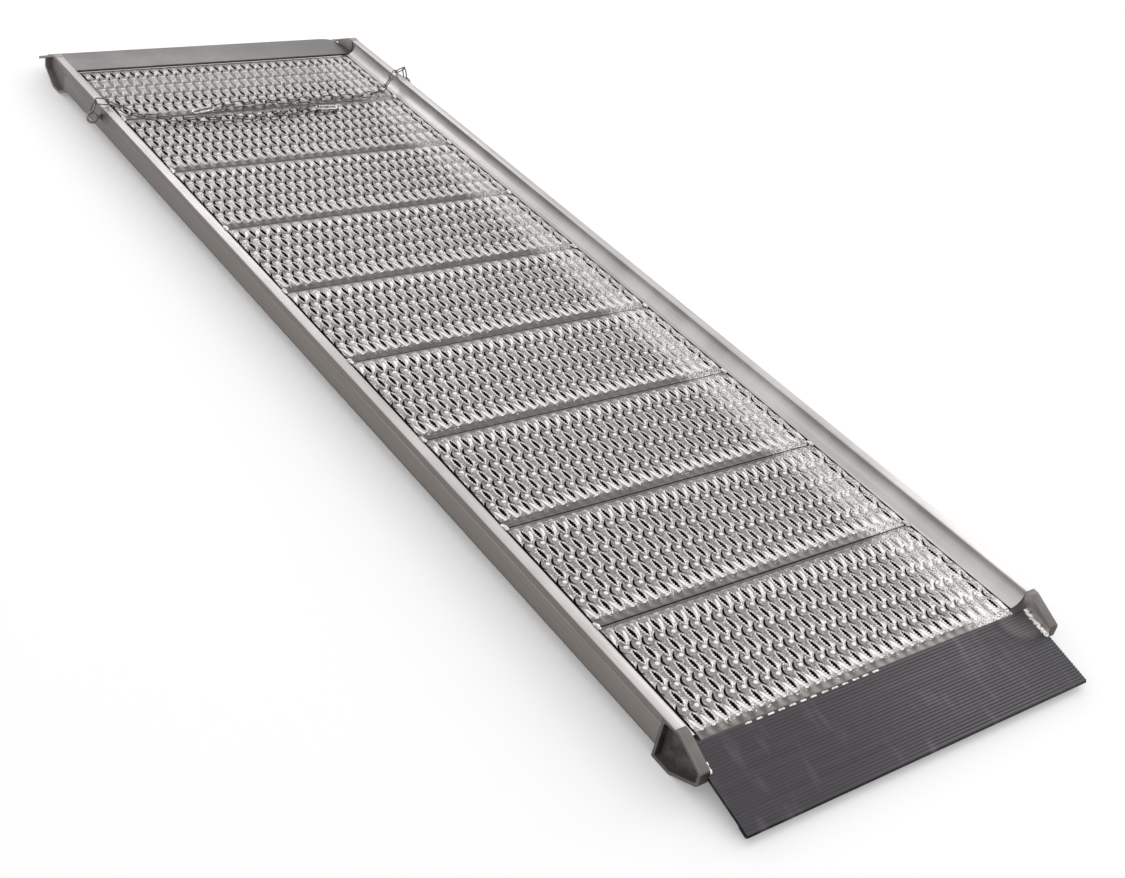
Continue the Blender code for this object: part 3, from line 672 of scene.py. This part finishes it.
def inner_ring(obj, half_width, half_length, height, middle=(0, 0)):
    """Extrudes the rim inwards to a lens, where height(x, y, v) gives its height, v from -1 to 1 along it."""
    bpy.ops.mesh.extrude_edges_move()
    shape = bmesh.from_edit_mesh(obj.data)
    chosen = [vert for vert in shape.verts if vert.select]
    low = Vector([min(vert.co[i] for vert in chosen) for i in range(2)])
    high = Vector([max(vert.co[i] for vert in chosen) for i in range(2)])
    for vert in chosen:
        across, v = (2 * vert.co[i] - low[i] - high[i] for i in range(2))
        v = v / (high.y - low.y)
        side = 0 if abs(across) < NO_SIDE else math.copysign(1, across)
        x = middle[0] + side * half_width * max(0, 1 - v * v) ** SLIT_ROUND
        y = middle[1] + half_length * v
        vert.co = Vector((x, y, height(x, y, v)))
    bmesh.update_edit_mesh(obj.data)


# %% One toothed slot
def toothed_slot(name, at_margin=False):
    """A slit with teeth along both edges. Beside a margin the sheet falls to the margin around it."""
    obj = diamond(name)

    def sheet(x, y):
        if at_margin and y > 0:
            return FIELD_HEIGHT * max(ease(1 - y / FIELD_FALL), mound(x, y))
        return field(y)

    def teeth(x, y, v):
        step = round(abs(v) * (CUTS + 1))
        return sheet(x, y) + (0 if step > CUTS else LIP_HEIGHT + TOOTH * (1 if step % 2 else -1))

    inner_ring(obj, SHOULDER_WIDTH, SHOULDER_LENGTH, lambda x, y, v: sheet(x, y))
    inner_ring(obj, SLIT_WIDTH, SLIT_LENGTH, teeth)
    bpy.ops.mesh.select_all(action="DESELECT")
    select_points(obj, lambda co: abs(abs(co.x) / HALF_COLUMN + abs(co.y) / HALF_ROW - 1) < 1e-4)

    def outline(co):
        v = co.y / HALF_ROW
        if not at_margin or v <= NO_SIDE:
            return Vector((co.x, co.y, sheet(co.x, co.y)))
        side = 0 if abs(co.x) < NO_SIDE else math.copysign(1, co.x)
        x = side * HALF_COLUMN * min(1, 2 - 2 * v)
        y = (HALF_ROW + MARGIN - MARGIN_BEND) * min(1, 2 * v)
        return Vector((x, y, sheet(x, y)))

    move_selected(obj, outline)
    stop_editing()
    return obj


tooth_tile = toothed_slot("toothed_slot")
edge_tile = toothed_slot("edge_slot", at_margin=True)
print("a toothed slot takes", triangles(tooth_tile), "triangles")


# %% [markdown]
# The plain slot between four mounds could be a simple hole, but its edges are pulled down and over towards
# the mound on its left. So its two rings are moved sideways by a curve, most in their middle.

# %% One plain slot
PLAIN_RINGS = ((0.0040, 0.0156, 0.0003), (0.0027, 0.0142, 0.0014))
PLAIN_MIDDLE = 0.0012
PLAIN_SLANT = 0.0024
PLAIN_LEAN = 0.0062


def plain_slot(name):
    """A narrow slot that leans over towards the mound on its left."""
    obj = diamond(name)
    move_selected(obj, lambda co: Vector((co.x, co.y, field(co.y + HALF_ROW))))
    for half_width, half_length, drop in PLAIN_RINGS:
        def lowered(x, y, v):
            return field(y + HALF_ROW) - drop

        def leaning(co):
            v = (co.y - PLAIN_MIDDLE) / half_length
            return Vector((co.x + PLAIN_SLANT * v - PLAIN_LEAN * (1 - v * v), co.y, co.z))

        inner_ring(obj, half_width, half_length, lowered, (0, PLAIN_MIDDLE))
        move_selected(obj, leaning)
    stop_editing()
    return obj


plain_tile = plain_slot("plain_slot")
print("a plain slot takes", triangles(plain_tile), "triangles")

# %% [markdown]
# The tiles are repeated with Array modifiers, and the columns at both ends are cut off where the field of
# the plank ends. Both long edges bend down into legs, which are the ramp's cross members. The sheet gets its
# thickness at the end, over all of it at once, so its normals first have to face up and outwards.


# %% One plank
def repeat(tile, name, columns, rows, corner):
    obj = place_copy(tile, name, Matrix.Translation(corner))
    for count, step in ((columns, (COLUMN, 0, 0)), (rows, (0, ROW, 0))):
        modify(obj, "ARRAY", count=count, use_relative_offset=False, use_constant_offset=True,
               constant_offset_displace=step)
    return obj


# %% The plank's edges
def bent_margin(name, near):
    """The plank's long edge: a strip that bends down into the leg."""
    deselect()
    bpy.ops.mesh.primitive_plane_add(size=1)
    obj = bpy.context.object
    obj.name = name
    start_editing(obj)
    bpy.ops.mesh.select_all(action="SELECT")
    bpy.ops.mesh.delete(type="ONLY_FACE")
    select_points(obj, lambda co: co.y > 0)
    bpy.ops.mesh.delete(type="VERT")
    bpy.ops.mesh.select_all(action="SELECT")
    move_selected(obj, lambda co: Vector((math.copysign(PLANK_HALF, co.x), MARGIN_BEND, 0)))
    bend = MARGIN_BEND - HALF_JOINT
    turns = [math.radians(15 * step) for step in range(1, 7)]
    path = [(HALF_JOINT + bend * (1 - math.sin(turn)), -bend * (1 - math.cos(turn))) for turn in turns]
    path.append((HALF_JOINT, -RAIL_DROP - MARGIN_LEVEL))
    for y, z in path:
        bpy.ops.mesh.extrude_edges_move()
        move_selected(obj, lambda co: Vector((co.x, y, z)))
    stop_editing()
    if not near:
        obj.data.transform(Matrix.Translation((0, PLANK_PITCH, 0)) @ Matrix.Scale(-1, 4, (0, 1, 0)))
    return obj


def corner_tab(name, side, near):
    """The margin's end beside the rail, past the end of the slots, where it laps the field a little."""
    deselect()
    low, high = MARGIN_BEND, MARGIN + TAB_REACH
    bpy.ops.mesh.primitive_plane_add(size=1)
    obj = bpy.context.object
    obj.name = name
    width = PLANK_HALF - FIELD_END + LAP
    obj.scale = (width, high - low, 1)
    middle = (low + high) / 2
    obj.location = (side * (PLANK_HALF - width / 2), middle if near else PLANK_PITCH - middle, 0)
    return settle(obj)


# %% The whole plank
def face_outwards(obj):
    """Turns the faces of the sheet up, and those of the legs away from the plank's middle."""
    shape = bmesh.new()
    shape.from_mesh(obj.data)
    bmesh.ops.reverse_faces(shape, faces=[f for f in shape.faces if f.normal.z < -LEVEL])
    legs = [f for f in shape.faces if abs(f.normal.z) <= LEVEL and f.calc_center_median().z < -MARGIN_BEND]
    inward = [f for f in legs if (f.normal.y > 0) == (f.calc_center_median().y < PLANK_PITCH / 2)]
    bmesh.ops.reverse_faces(shape, faces=inward)
    shape.to_mesh(obj.data)
    shape.free()


def plank():
    first = -(COLUMNS - 1) / 2 * COLUMN
    middle = MARGIN + HALF_ROW
    turned = place_copy(edge_tile, "turned_slot", Matrix.Rotation(math.pi, 4, "Z"))
    parts = [
        repeat(tooth_tile, "rows", COLUMNS, ROWS - 2, (first, middle + ROW, 0)),
        repeat(edge_tile, "far_row", COLUMNS, 1, (first, middle + ROW * (ROWS - 1), 0)),
        repeat(turned, "near_row", COLUMNS, 1, (first, middle, 0)),
        repeat(plain_tile, "plain_rows", COLUMNS - 1, ROWS - 1, (first + HALF_COLUMN, middle + HALF_ROW, 0)),
    ]
    remove(turned)
    punched = merge(join_pieces(parts, "field"))
    start_editing(punched)
    for side in (-1, 1):
        bpy.ops.mesh.select_all(action="SELECT")
        bpy.ops.mesh.bisect(plane_co=(side * FIELD_END, 0, 0), plane_no=(side, 0, 0), clear_outer=True)
    stop_editing()
    edges = [bent_margin("near_margin", True), bent_margin("far_margin", False)]
    edges += [corner_tab("tab", side, near) for side in (-1, 1) for near in (True, False)]
    made = join_pieces([punched] + edges, "plank")
    start_editing(made)
    bpy.ops.mesh.select_all(action="SELECT")
    bpy.ops.mesh.normals_make_consistent(inside=False)
    stop_editing()
    face_outwards(made)
    modify(made, "SOLIDIFY", thickness=SHEET, offset=-1)
    return smooth(made, 50)


pattern = plank()
print("one plank takes", triangles(pattern), "triangles")

# %% [markdown]
# The planks are alike, so one is modelled and each node gets a copy with a mesh of its own. Their marks
# still differ, because the finish's noises are read where each plank lies.

# %% The nine planks
for number in range(1, PLANKS + 1):
    place = Matrix.Translation((0, plank_start(number), DECK_TOP + MARGIN_LEVEL))
    piece = place_copy(pattern, f"serrated_plank_{number}", place)
    hand_over(piece, "ramp", "grating", serrated_sheet, f"grating_plank_{number}")
for obj in (pattern, tooth_tile, edge_tile, plain_tile):
    remove(obj)
print("the planks take", round(plank_start(1) + PLANK_PITCH - plank_start(PLANKS), 3), "m")

# %% [markdown]
# ## Rails, feet and end plates
#
# These CAD shapes are right, but real extrusions and plates have no knife edges, and rounded edges are what
# catches the light. The pieces could be drawn again, but a copy of the solid keeps the size. So each copy is
# merged, its flat faces are cleaned of their triangles, and its edges are bevelled.


# %% Rounding a copy of a solid
def rounded_copy(node, name, width, segments=2):
    made = place_copy(bpy.data.objects[node], name, Matrix.Identity(4))
    made.parent = None
    made.matrix_world = Matrix.Identity(4)
    made.hide_render = False
    merge(made)
    start_editing(made)
    bpy.ops.mesh.select_all(action="SELECT")
    bpy.ops.mesh.dissolve_limited(angle_limit=math.radians(1))
    stop_editing()
    modify(made, "BEVEL", width=width, segments=segments, limit_method="ANGLE",
           angle_limit=math.radians(30), harden_normals=False, use_clamp_overlap=True)
    return smooth(made, 40)


SIDES = ((-1, "left"), (1, "right"))
RAIL_EDGE = 0.0012
FOOT_EDGE = 0.0014
TOE_EDGE = 0.0003
LIP_EDGE = 0.0010
NUT_EDGE = 0.0005
for _, word in SIDES:
    piece = rounded_copy(f"{word}_rail", f"{word}_curb", RAIL_EDGE)
    hand_over(piece, "ramp", "rail", mill_aluminium, f"{word}_rail")
    print(piece.name, "takes", triangles(piece), "triangles")

# %% [markdown]
# A casting comes out of its mould with soft edges, so the feet are rounded the most. The toe plate's ribs
# are fine, and a wide bevel would eat them.

# %% The feet and the end plates
for end in ("near", "far"):
    for _, word in SIDES:
        node = f"{end}_{word}_foot"
        piece = rounded_copy(node, f"cast_{node}", FOOT_EDGE, segments=3)
        hand_over(piece, "ramp", "foot", cast_foot, node)
piece = rounded_copy("toe_plate", "ribbed_toe_plate", TOE_EDGE, segments=1)
hand_over(piece, "ramp", "toe_plate", ribbed_plate, "toe_plate")
piece = rounded_copy("lip_plate", "rolled_lip_plate", LIP_EDGE, segments=3)
hand_over(piece, "ramp", "lip_plate", rolled_plate, "lip_plate")
print(piece.name, "takes", triangles(piece), "triangles")

# %% [markdown]
# A weld bead is a row of overlapping drops. Each drop is an icosphere, a little larger or smaller than the
# last and pressed flat. One bead runs down each side of the toe plate, short stitches hold its top edge, and
# a spot sits at every corner where two planks meet a rail.


# %% The sizes of the weld beads
BEAD_RADIUS = 0.0068
STITCH_RADIUS = 0.0022
STITCH_LENGTH = 0.011
STITCH_PITCH = 0.026
STITCHES = 13
FIRST_STITCH = -0.31
SPOT_RADIUS = 0.0048
SPOT_HALF = 0.006
SPOT_PLACE = 0.4055
SPOT_LIFT = 0.0015
BEAD_INSET = 0.0055
BEAD_START = 0.006
BEAD_ENDS = {"left": 0.054, "right": 0.062}
STITCH_DOWN = 0.0035
WELD_LIFT = 0.0005
toe_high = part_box("toe_plate")[1]


# %% Rows of drops
def bead(name, start, end, radius, seed):
    """A row of drops from start to end, whose sizes and places waver with the seed."""
    start, end = Vector(start), Vector(end)
    count = max(2, round((end - start).length / (radius * 0.6)) + 1)
    drops = []
    for i in range(count):
        wave = math.sin(seed + i * 2.4)
        deselect()
        bpy.ops.mesh.primitive_ico_sphere_add(subdivisions=2, radius=radius * (1 + 0.15 * wave))
        drop = bpy.context.object
        wander = Vector((0.25 * wave * radius, 0, 0.2 * wave * radius))
        drop.location = start.lerp(end, i / (count - 1)) + wander
        drop.scale = (1, 1, 0.7)
        drops.append(settle(drop))
    return smooth(join_pieces(drops, name), 60)


def on_toe(x, down):
    """A place on the toe plate's slope, that far down from its top edge."""
    return (x, toe_high.y - down, toe_high.z - down * math.tan(TOE_DROP) + WELD_LIFT)


def stitch(x):
    ends = [on_toe(place, STITCH_DOWN) for place in (x, x + STITCH_LENGTH)]
    return bead("stitch", *ends, STITCH_RADIUS, x * 90)


def plank_spot(side, y):
    places = [(side * SPOT_PLACE, y + way * SPOT_HALF, DECK_TOP + SPOT_LIFT) for way in (-1, 1)]
    return bead("spot", *places, SPOT_RADIUS, y * 40)


# %% The weld beads
for side, word in SIDES:
    x = side * (toe_high.x - BEAD_INSET)
    piece = bead(f"{word}_toe_weld", on_toe(x, BEAD_START), on_toe(x, BEAD_ENDS[word]), BEAD_RADIUS, side)
    hand_over(piece, "ramp", "toe_plate", weld_metal)
stitches = [stitch(FIRST_STITCH + STITCH_PITCH * i) for i in range(STITCHES)]
spots = [plank_spot(side, plank_start(number)) for number in range(1, PLANKS) for side in (-1, 1)]
print("two beads,", len(stitches), "stitches and", len(spots), "spots")
hand_over(join_pieces(stitches, "toe_stitches"), "ramp", "toe_plate", weld_metal)
hand_over(join_pieces(spots, "plank_welds"), "ramp", "grating", weld_metal)

# %% [markdown]
# ## Chains and hooks
#
# Each chain runs from its eye over the curb and across the deck to its hook. A few places along the route
# are given, as on a drawing, and a smooth curve goes through them. Steps of one link's pitch along that
# curve give the places where a link hangs in the next. The CAD solids are made the same way, so each
# section of chain lies where its body is.

# %% The chains' sizes and routes
GAP = 0.0003
EYE_RADIUS = 0.0125
EYE_WIRE = 0.0064
EYE_TILT = math.radians(30)
EYE_LEAN = 0.003
LINK_PITCH = 0.033
LINK_WIDTH = 0.019
LINK_WIRE = 0.0038
SECTIONS = {"left": (4, 4, 4, 4, 4), "right": (4, 4, 4, 4, 5)}
FIRST_ROLLS = (0, 62, -42)
ROLL = 45
LAST_ROLL = 72
LINK_REACH = 0.52 * LINK_WIRE
WIRE_ROOM = 0.00012
STRIP_WIDTH = 0.0225
COVE_EDGE = WALL_FACE - STRIP_WIDTH
CREST = CURB_RISE + 0.012
CHAIN_LIE = 0.0113
ROUTE_SAMPLES = 24
# How far inwards from the cove's edge, along the ramp from the eye, and over the deck
OVER_CURB = {
    "left": ((-0.010, -0.002, CREST), (0.022, -0.010, 0.034), (0.050, -0.018, 0.017)),
    "right": ((-0.010, -0.008, CREST), (0.022, -0.028, 0.034), (0.050, -0.046, 0.017)),
}
ON_DECK = {
    "left": (
        (0.078, -0.030), (0.150, -0.055), (0.250, -0.076), (0.355, -0.084), (0.440, -0.078),
        (0.515, -0.066), (0.640, -0.064),
    ),
    "right": (
        (0.080, -0.061), (0.130, -0.074), (0.215, -0.077), (0.334, -0.070), (0.450, -0.065),
        (0.535, -0.068), (0.600, -0.078), (0.720, -0.086),
    ),
}


# %% Where the links hang
def eye_centre(word, side):
    """The middle of an eyebolt's ring, which stands just outside its nut."""
    low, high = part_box(f"outer_nut_{word}")
    out = max(abs(low.x), abs(high.x)) + GAP + EYE_RADIUS + EYE_WIRE / 2
    return Vector((side * out, (low.y + high.y) / 2, (low.z + high.z) / 2))


def smooth_path(points):
    """Points on a smooth curve through the given ones."""
    path = []
    last = len(points) - 1
    for i in range(last):
        p0, p1, p2, p3 = (points[min(max(j, 0), last)] for j in range(i - 1, i + 3))
        for t in (step / ROUTE_SAMPLES for step in range(ROUTE_SAMPLES)):
            bend = (2 * p0 - 5 * p1 + 4 * p2 - p3) * t**2 + (3 * p1 - p0 - 3 * p2 + p3) * t**3
            path.append(0.5 * (2 * p1 + (p2 - p0) * t + bend))
    path.append(points[-1])
    return path


def chain_places(word, side):
    """The places where one link hangs in the next."""
    up = Vector((0, math.sin(EYE_TILT), math.cos(EYE_TILT)))
    eye = eye_centre(word, side) + up * EYE_RADIUS
    spots = OVER_CURB[word] + tuple((*spot, CHAIN_LIE) for spot in ON_DECK[word])
    route = [eye, Vector((eye.x - side * EYE_LEAN, eye.y, DECK_TOP + CREST))]
    for inward, shift, rise in spots:
        route.append(Vector((side * (COVE_EDGE - inward), eye.y + shift, DECK_TOP + rise)))
    places = [eye]
    for point in smooth_path(route):
        step = point - places[-1]
        if step.length >= LINK_PITCH:
            places.append(places[-1] + step.normalized() * LINK_PITCH)
        if len(places) == sum(SECTIONS[word]) + 1:
            break
    return places


places_of = {word: chain_places(word, side) for side, word in SIDES}
print("links:", {word: len(places) - 1 for word, places in places_of.items()})

# %% [markdown]
# A link is a torus whose two halves are pulled apart. It could be bent from a curve, but a stretched torus
# has even faces. One link is modelled and copied along the chain, each copy turned against the one before.


# %% One link
def chain_link():
    """A link along X, its wire a hair thinner than the solid's, to leave room where links hang."""
    deselect()
    end_radius = (LINK_WIDTH - LINK_WIRE) / 2
    wire_radius = LINK_WIRE / 2 - WIRE_ROOM
    bpy.ops.mesh.primitive_torus_add(
        major_radius=end_radius, minor_radius=wire_radius, major_segments=20, minor_segments=10
    )
    obj = bpy.context.object
    obj.name = "link"
    pull = LINK_PITCH / 2 + LINK_REACH - end_radius
    start_editing(obj)
    for side in (-1, 1):
        bpy.ops.mesh.select_all(action="DESELECT")
        select_points(obj, lambda co: side * co.x > 0.0001)
        bpy.ops.transform.translate(value=(side * pull, 0, 0))
    stop_editing()
    return smooth(obj, 60)


def link_frame(a, b, roll):
    """Places a link between two points, turned about the line between them."""
    forward = (b - a).normalized()
    level = Vector((-forward.y, forward.x, 0)).normalized()
    up = forward.cross(level)
    width = math.cos(roll) * level + math.sin(roll) * up
    turned = Matrix((forward, width, forward.cross(width))).transposed().to_4x4()
    turned.translation = (a + b) / 2
    return turned


def link_roll(number, count):
    if number < len(FIRST_ROLLS):
        return FIRST_ROLLS[number]
    roll = LAST_ROLL if number == count - 1 else ROLL
    return roll if number % 2 else -roll


link = chain_link()
print("a link takes", triangles(link), "triangles")

# %% The two chains
for word, counts in SECTIONS.items():
    number = 0
    for section, count in enumerate(counts, start=1):
        links = []
        for _ in range(count):
            roll = math.radians(link_roll(number, sum(counts)))
            where = link_frame(*places_of[word][number:number + 2], roll)
            links.append(place_copy(link, f"link_{number}", where))
            number += 1
        piece = join_pieces(links, f"{word}_links_{section}")
        hand_over(piece, f"{word}_chain_{section}", "chain", chain_steel, f"chain_{word}_{section}")
    print("the", word, "chain is laid with", number, "links")
remove(link)

# %% [markdown]
# The snap hooks are bent from round wire: a rear bow that the last link hangs in, and a front bow that
# closes with a sprung gate. A curve along the wire's middle gives the body. The gate and its pin are
# cylinders with their edges broken, and the gate is a piece of its own because it turns.

# %% The hooks' sizes
HOOK_WIRE = 0.006
HOOK_RADIUS = 0.009
HOOK_LENGTH = 0.062
HOOK_REAR_LIE = 0.0104
HOOK_NOSE_LIE = 0.0072
HOOK_HANG = (HOOK_WIRE + LINK_WIRE) / 2 + 2 * GAP - LINK_REACH
GATE_START = 0.017
GATE_END = 0.0476
GATE_SETBACK = 0.0015
NOSE_GAP = 0.0006
PIN_RADIUS = 0.0011
PIN_PROUD = 0.0003
BOW_STEPS = 14


def hook_frame(places):
    """The hook's own axes: forward from its rear bow, across, and up. Its nose lies lower than its bow."""
    level = places[-1] - places[-2]
    level.z = 0
    level.normalize()
    drop = math.asin((HOOK_REAR_LIE - HOOK_NOSE_LIE) / HOOK_LENGTH)
    forward = level * math.cos(drop) - Vector((0, 0, 1)) * math.sin(drop)
    across = Vector((0, 0, 1)).cross(level)
    turned = Matrix((forward, across, forward.cross(across))).transposed().to_4x4()
    turned.translation = places[-1] - level * HOOK_HANG
    turned.translation.z = DECK_TOP + HOOK_REAR_LIE
    return turned


# %% Bent wire and round bar
def wire(name, points, thickness, place):
    """A round wire along the points, as a mesh with closed ends."""
    curve = bpy.data.curves.new(name, "CURVE")
    curve.dimensions = "3D"
    curve.bevel_depth = thickness / 2
    curve.bevel_resolution = 4
    curve.use_fill_caps = True
    spline = curve.splines.new("POLY")
    spline.points.add(len(points) - 1)
    for point, where in zip(spline.points, points):
        point.co = (*where, 1)
    obj = bpy.data.objects.new(name, curve)
    bpy.context.scene.collection.objects.link(obj)
    make_active(obj)
    bpy.ops.object.convert(target="MESH")
    obj = bpy.context.object
    merge(obj, 0.00001)
    obj.data.transform(place)
    return obj


def bow(centre, start, end):
    """Points on a half turn of the hook's wire."""
    turns = [start + (end - start) * i / BOW_STEPS for i in range(BOW_STEPS + 1)]
    return [(centre + HOOK_RADIUS * math.cos(t), HOOK_RADIUS * math.sin(t), 0) for t in turns]


def cylinder(name, radius, length, matrix, sides=20, bevel=0.0004):
    deselect()
    bpy.ops.mesh.primitive_cylinder_add(vertices=sides, radius=radius, depth=length)
    obj = bpy.context.object
    obj.name = name
    modify(obj, "BEVEL", width=bevel, segments=2, limit_method="ANGLE")
    obj.data.transform(matrix)
    return obj


# %% The hooks
for word, places in places_of.items():
    lie = hook_frame(places)
    path = [(GATE_START - GATE_SETBACK, HOOK_RADIUS, 0)]
    path += bow(HOOK_RADIUS, math.pi / 2, 1.5 * math.pi)
    path += bow(HOOK_LENGTH - HOOK_RADIUS, -math.pi / 2, math.pi / 2)
    path.append((GATE_END + NOSE_GAP, HOOK_RADIUS, 0))
    body = wire("hook_wire", path, HOOK_WIRE, lie)
    pivot = Matrix.Translation((GATE_START + GATE_SETBACK, HOOK_RADIUS, 0))
    pin = cylinder("pin", PIN_RADIUS, HOOK_WIRE + 2 * PIN_PROUD, lie @ pivot)
    hook = smooth(join_pieces([body, pin], f"{word}_snap_hook"), 40)
    hand_over(hook, f"{word}_hook", "snap_hook", hook_steel, f"snap_hook_{word}", f"gate_pin_{word}")
    middle = Matrix.Translation(((GATE_START + GATE_END) / 2, HOOK_RADIUS, 0))
    along = middle @ Matrix.Rotation(math.pi / 2, 4, "Y")
    gate = cylinder(f"{word}_gate", HOOK_WIRE / 2, GATE_END - GATE_START, lie @ along, sides=28)
    nodes = (f"hook_gate_{word}", f"gate_spring_{word}")
    hand_over(smooth(gate, 40), f"{word}_gate", "snap_hook", hook_steel, *nodes)
print("each gate is", round(GATE_END - GATE_START, 4), "m long")

# %% [markdown]
# ## Eyebolts
#
# An eyebolt holds each chain to the outer wall of its rail. Its ring is a torus and its shank a cylinder,
# because bent round bar is just that. The washer and the nuts are the CAD solids with their edges broken.

# %% The eyebolts
SHANK_END = 0.4505
RING_RADIUS = EYE_RADIUS - 0.0001
for side, word in SIDES:
    centre = eye_centre(word, side)
    deselect()
    bpy.ops.mesh.primitive_torus_add(
        major_radius=RING_RADIUS, minor_radius=EYE_WIRE / 2, major_segments=36, minor_segments=14
    )
    ring = bpy.context.object
    lean = Matrix.Rotation(math.pi / 2 - EYE_TILT, 4, "X")
    ring.data.transform(Matrix.Translation(centre) @ lean)
    start = abs(centre.x) - EYE_RADIUS
    middle = Matrix.Translation((side * (start + SHANK_END) / 2, centre.y, centre.z))
    along = middle @ Matrix.Rotation(math.pi / 2, 4, "Y")
    shank = cylinder("shank", EYE_WIRE / 2, start - SHANK_END, along, bevel=0.0006)
    bolt = smooth(join_pieces([ring, shank], f"{word}_eyebolt"), 40)
    hand_over(bolt, "ramp", "fastener", bolt_steel, f"eyebolt_{word}")
    for node in (f"washer_{word}", f"outer_nut_{word}", f"inner_nut_{word}"):
        piece = rounded_copy(node, f"plated_{node}", NUT_EDGE)
        hand_over(piece, "ramp", "fastener", bolt_steel, node)
print("each ring is", round(eye_centre("right", 1).x, 4), "m from the middle")

# %% [markdown]
# ## The stage
#
# A plain pale floor keeps the ramp's shadow. Its paleness comes from its own colour and a faint glow that
# only the camera and the metal see, and not from more light on the ramp. Under the deck it is painted nearly
# black, a painted shade, so that the slits look black.

# %% The floor
WHITE = (1.0, 1.0, 1.0, 1)
BLACK = (0.0, 0.0, 0.0, 1)
FLOOR_SIZE = 40
SHADE_HALF_WIDTH = 0.42
SHADE_HALF_LENGTH = 1.34
SHADE_SOFTNESS = 0.06
deselect()
bpy.ops.mesh.primitive_plane_add(size=FLOOR_SIZE)
floor = bpy.context.object
floor.name = "floor"
pale = Finish("pale_floor", metallic=0.0)
# Painted shade: under the deck the floor is nearly black and gives no glow.
across = pale.x.sum("ABSOLUTE").ramp(SHADE_HALF_WIDTH, SHADE_HALF_WIDTH - SHADE_SOFTNESS)
along = pale.y.sum("ABSOLUTE").ramp(SHADE_HALF_LENGTH, SHADE_HALF_LENGTH - SHADE_SOFTNESS)
below = across * along
pale.set("Base Color", pale.mix(below, (0.9, 0.9, 0.9, 1), (0.01, 0.01, 0.01, 1)))
pale.set("Roughness", 0.9)
pale.set("Emission Color", pale.mix(pale.background_rays() * (1 - below), BLACK, (0.19, 0.19, 0.19, 1)))
pale.set("Emission Strength", 1.0)
floor.data.materials.append(pale.material)
print("the floor is", round(floor.dimensions.x), "m wide")

# %% [markdown]
# The light is soft: a wide lamp over the far end, a second one from the right, and an even world. The world
# lights a little less from overhead, and is plain white where the camera or the metal sees it.


# %% The lamps and the world
def lamp(name, place, size, power):
    """A soft lamp that shines at the ramp's middle."""
    data = bpy.data.lights.new(name, "AREA")
    data.shape = "RECTANGLE"
    data.size, data.size_y = size
    data.energy = power
    obj = bpy.data.objects.new(name, data)
    bpy.context.scene.collection.objects.link(obj)
    obj.location = place
    obj.rotation_euler = (-Vector(place)).to_track_quat("-Z", "Y").to_euler()
    print(name, "gives", power, "W")


lamp("low_far_end", (0.8, 4.2, 1.8), (3.6, 0.9), 30)
lamp("from_right", (3.4, -0.5, 2.4), (1.2, 3.0), 25)
world = bpy.data.worlds.new("even_light")
bpy.context.scene.world = world
world.use_nodes = True
sky = Nodes(world.node_tree)
height = sky.axes(sky.node("ShaderNodeTexCoord", {}, {}).outputs["Generated"])[2]
light = sky.mix(height.ramp(0.35, 0.95), WHITE, (0.68, 0.68, 0.68, 1))
sky.feed(world.node_tree.nodes["Background"], "Color", sky.mix(sky.background_rays(), light, WHITE))
bpy.context.scene.view_settings.view_transform = "Standard"
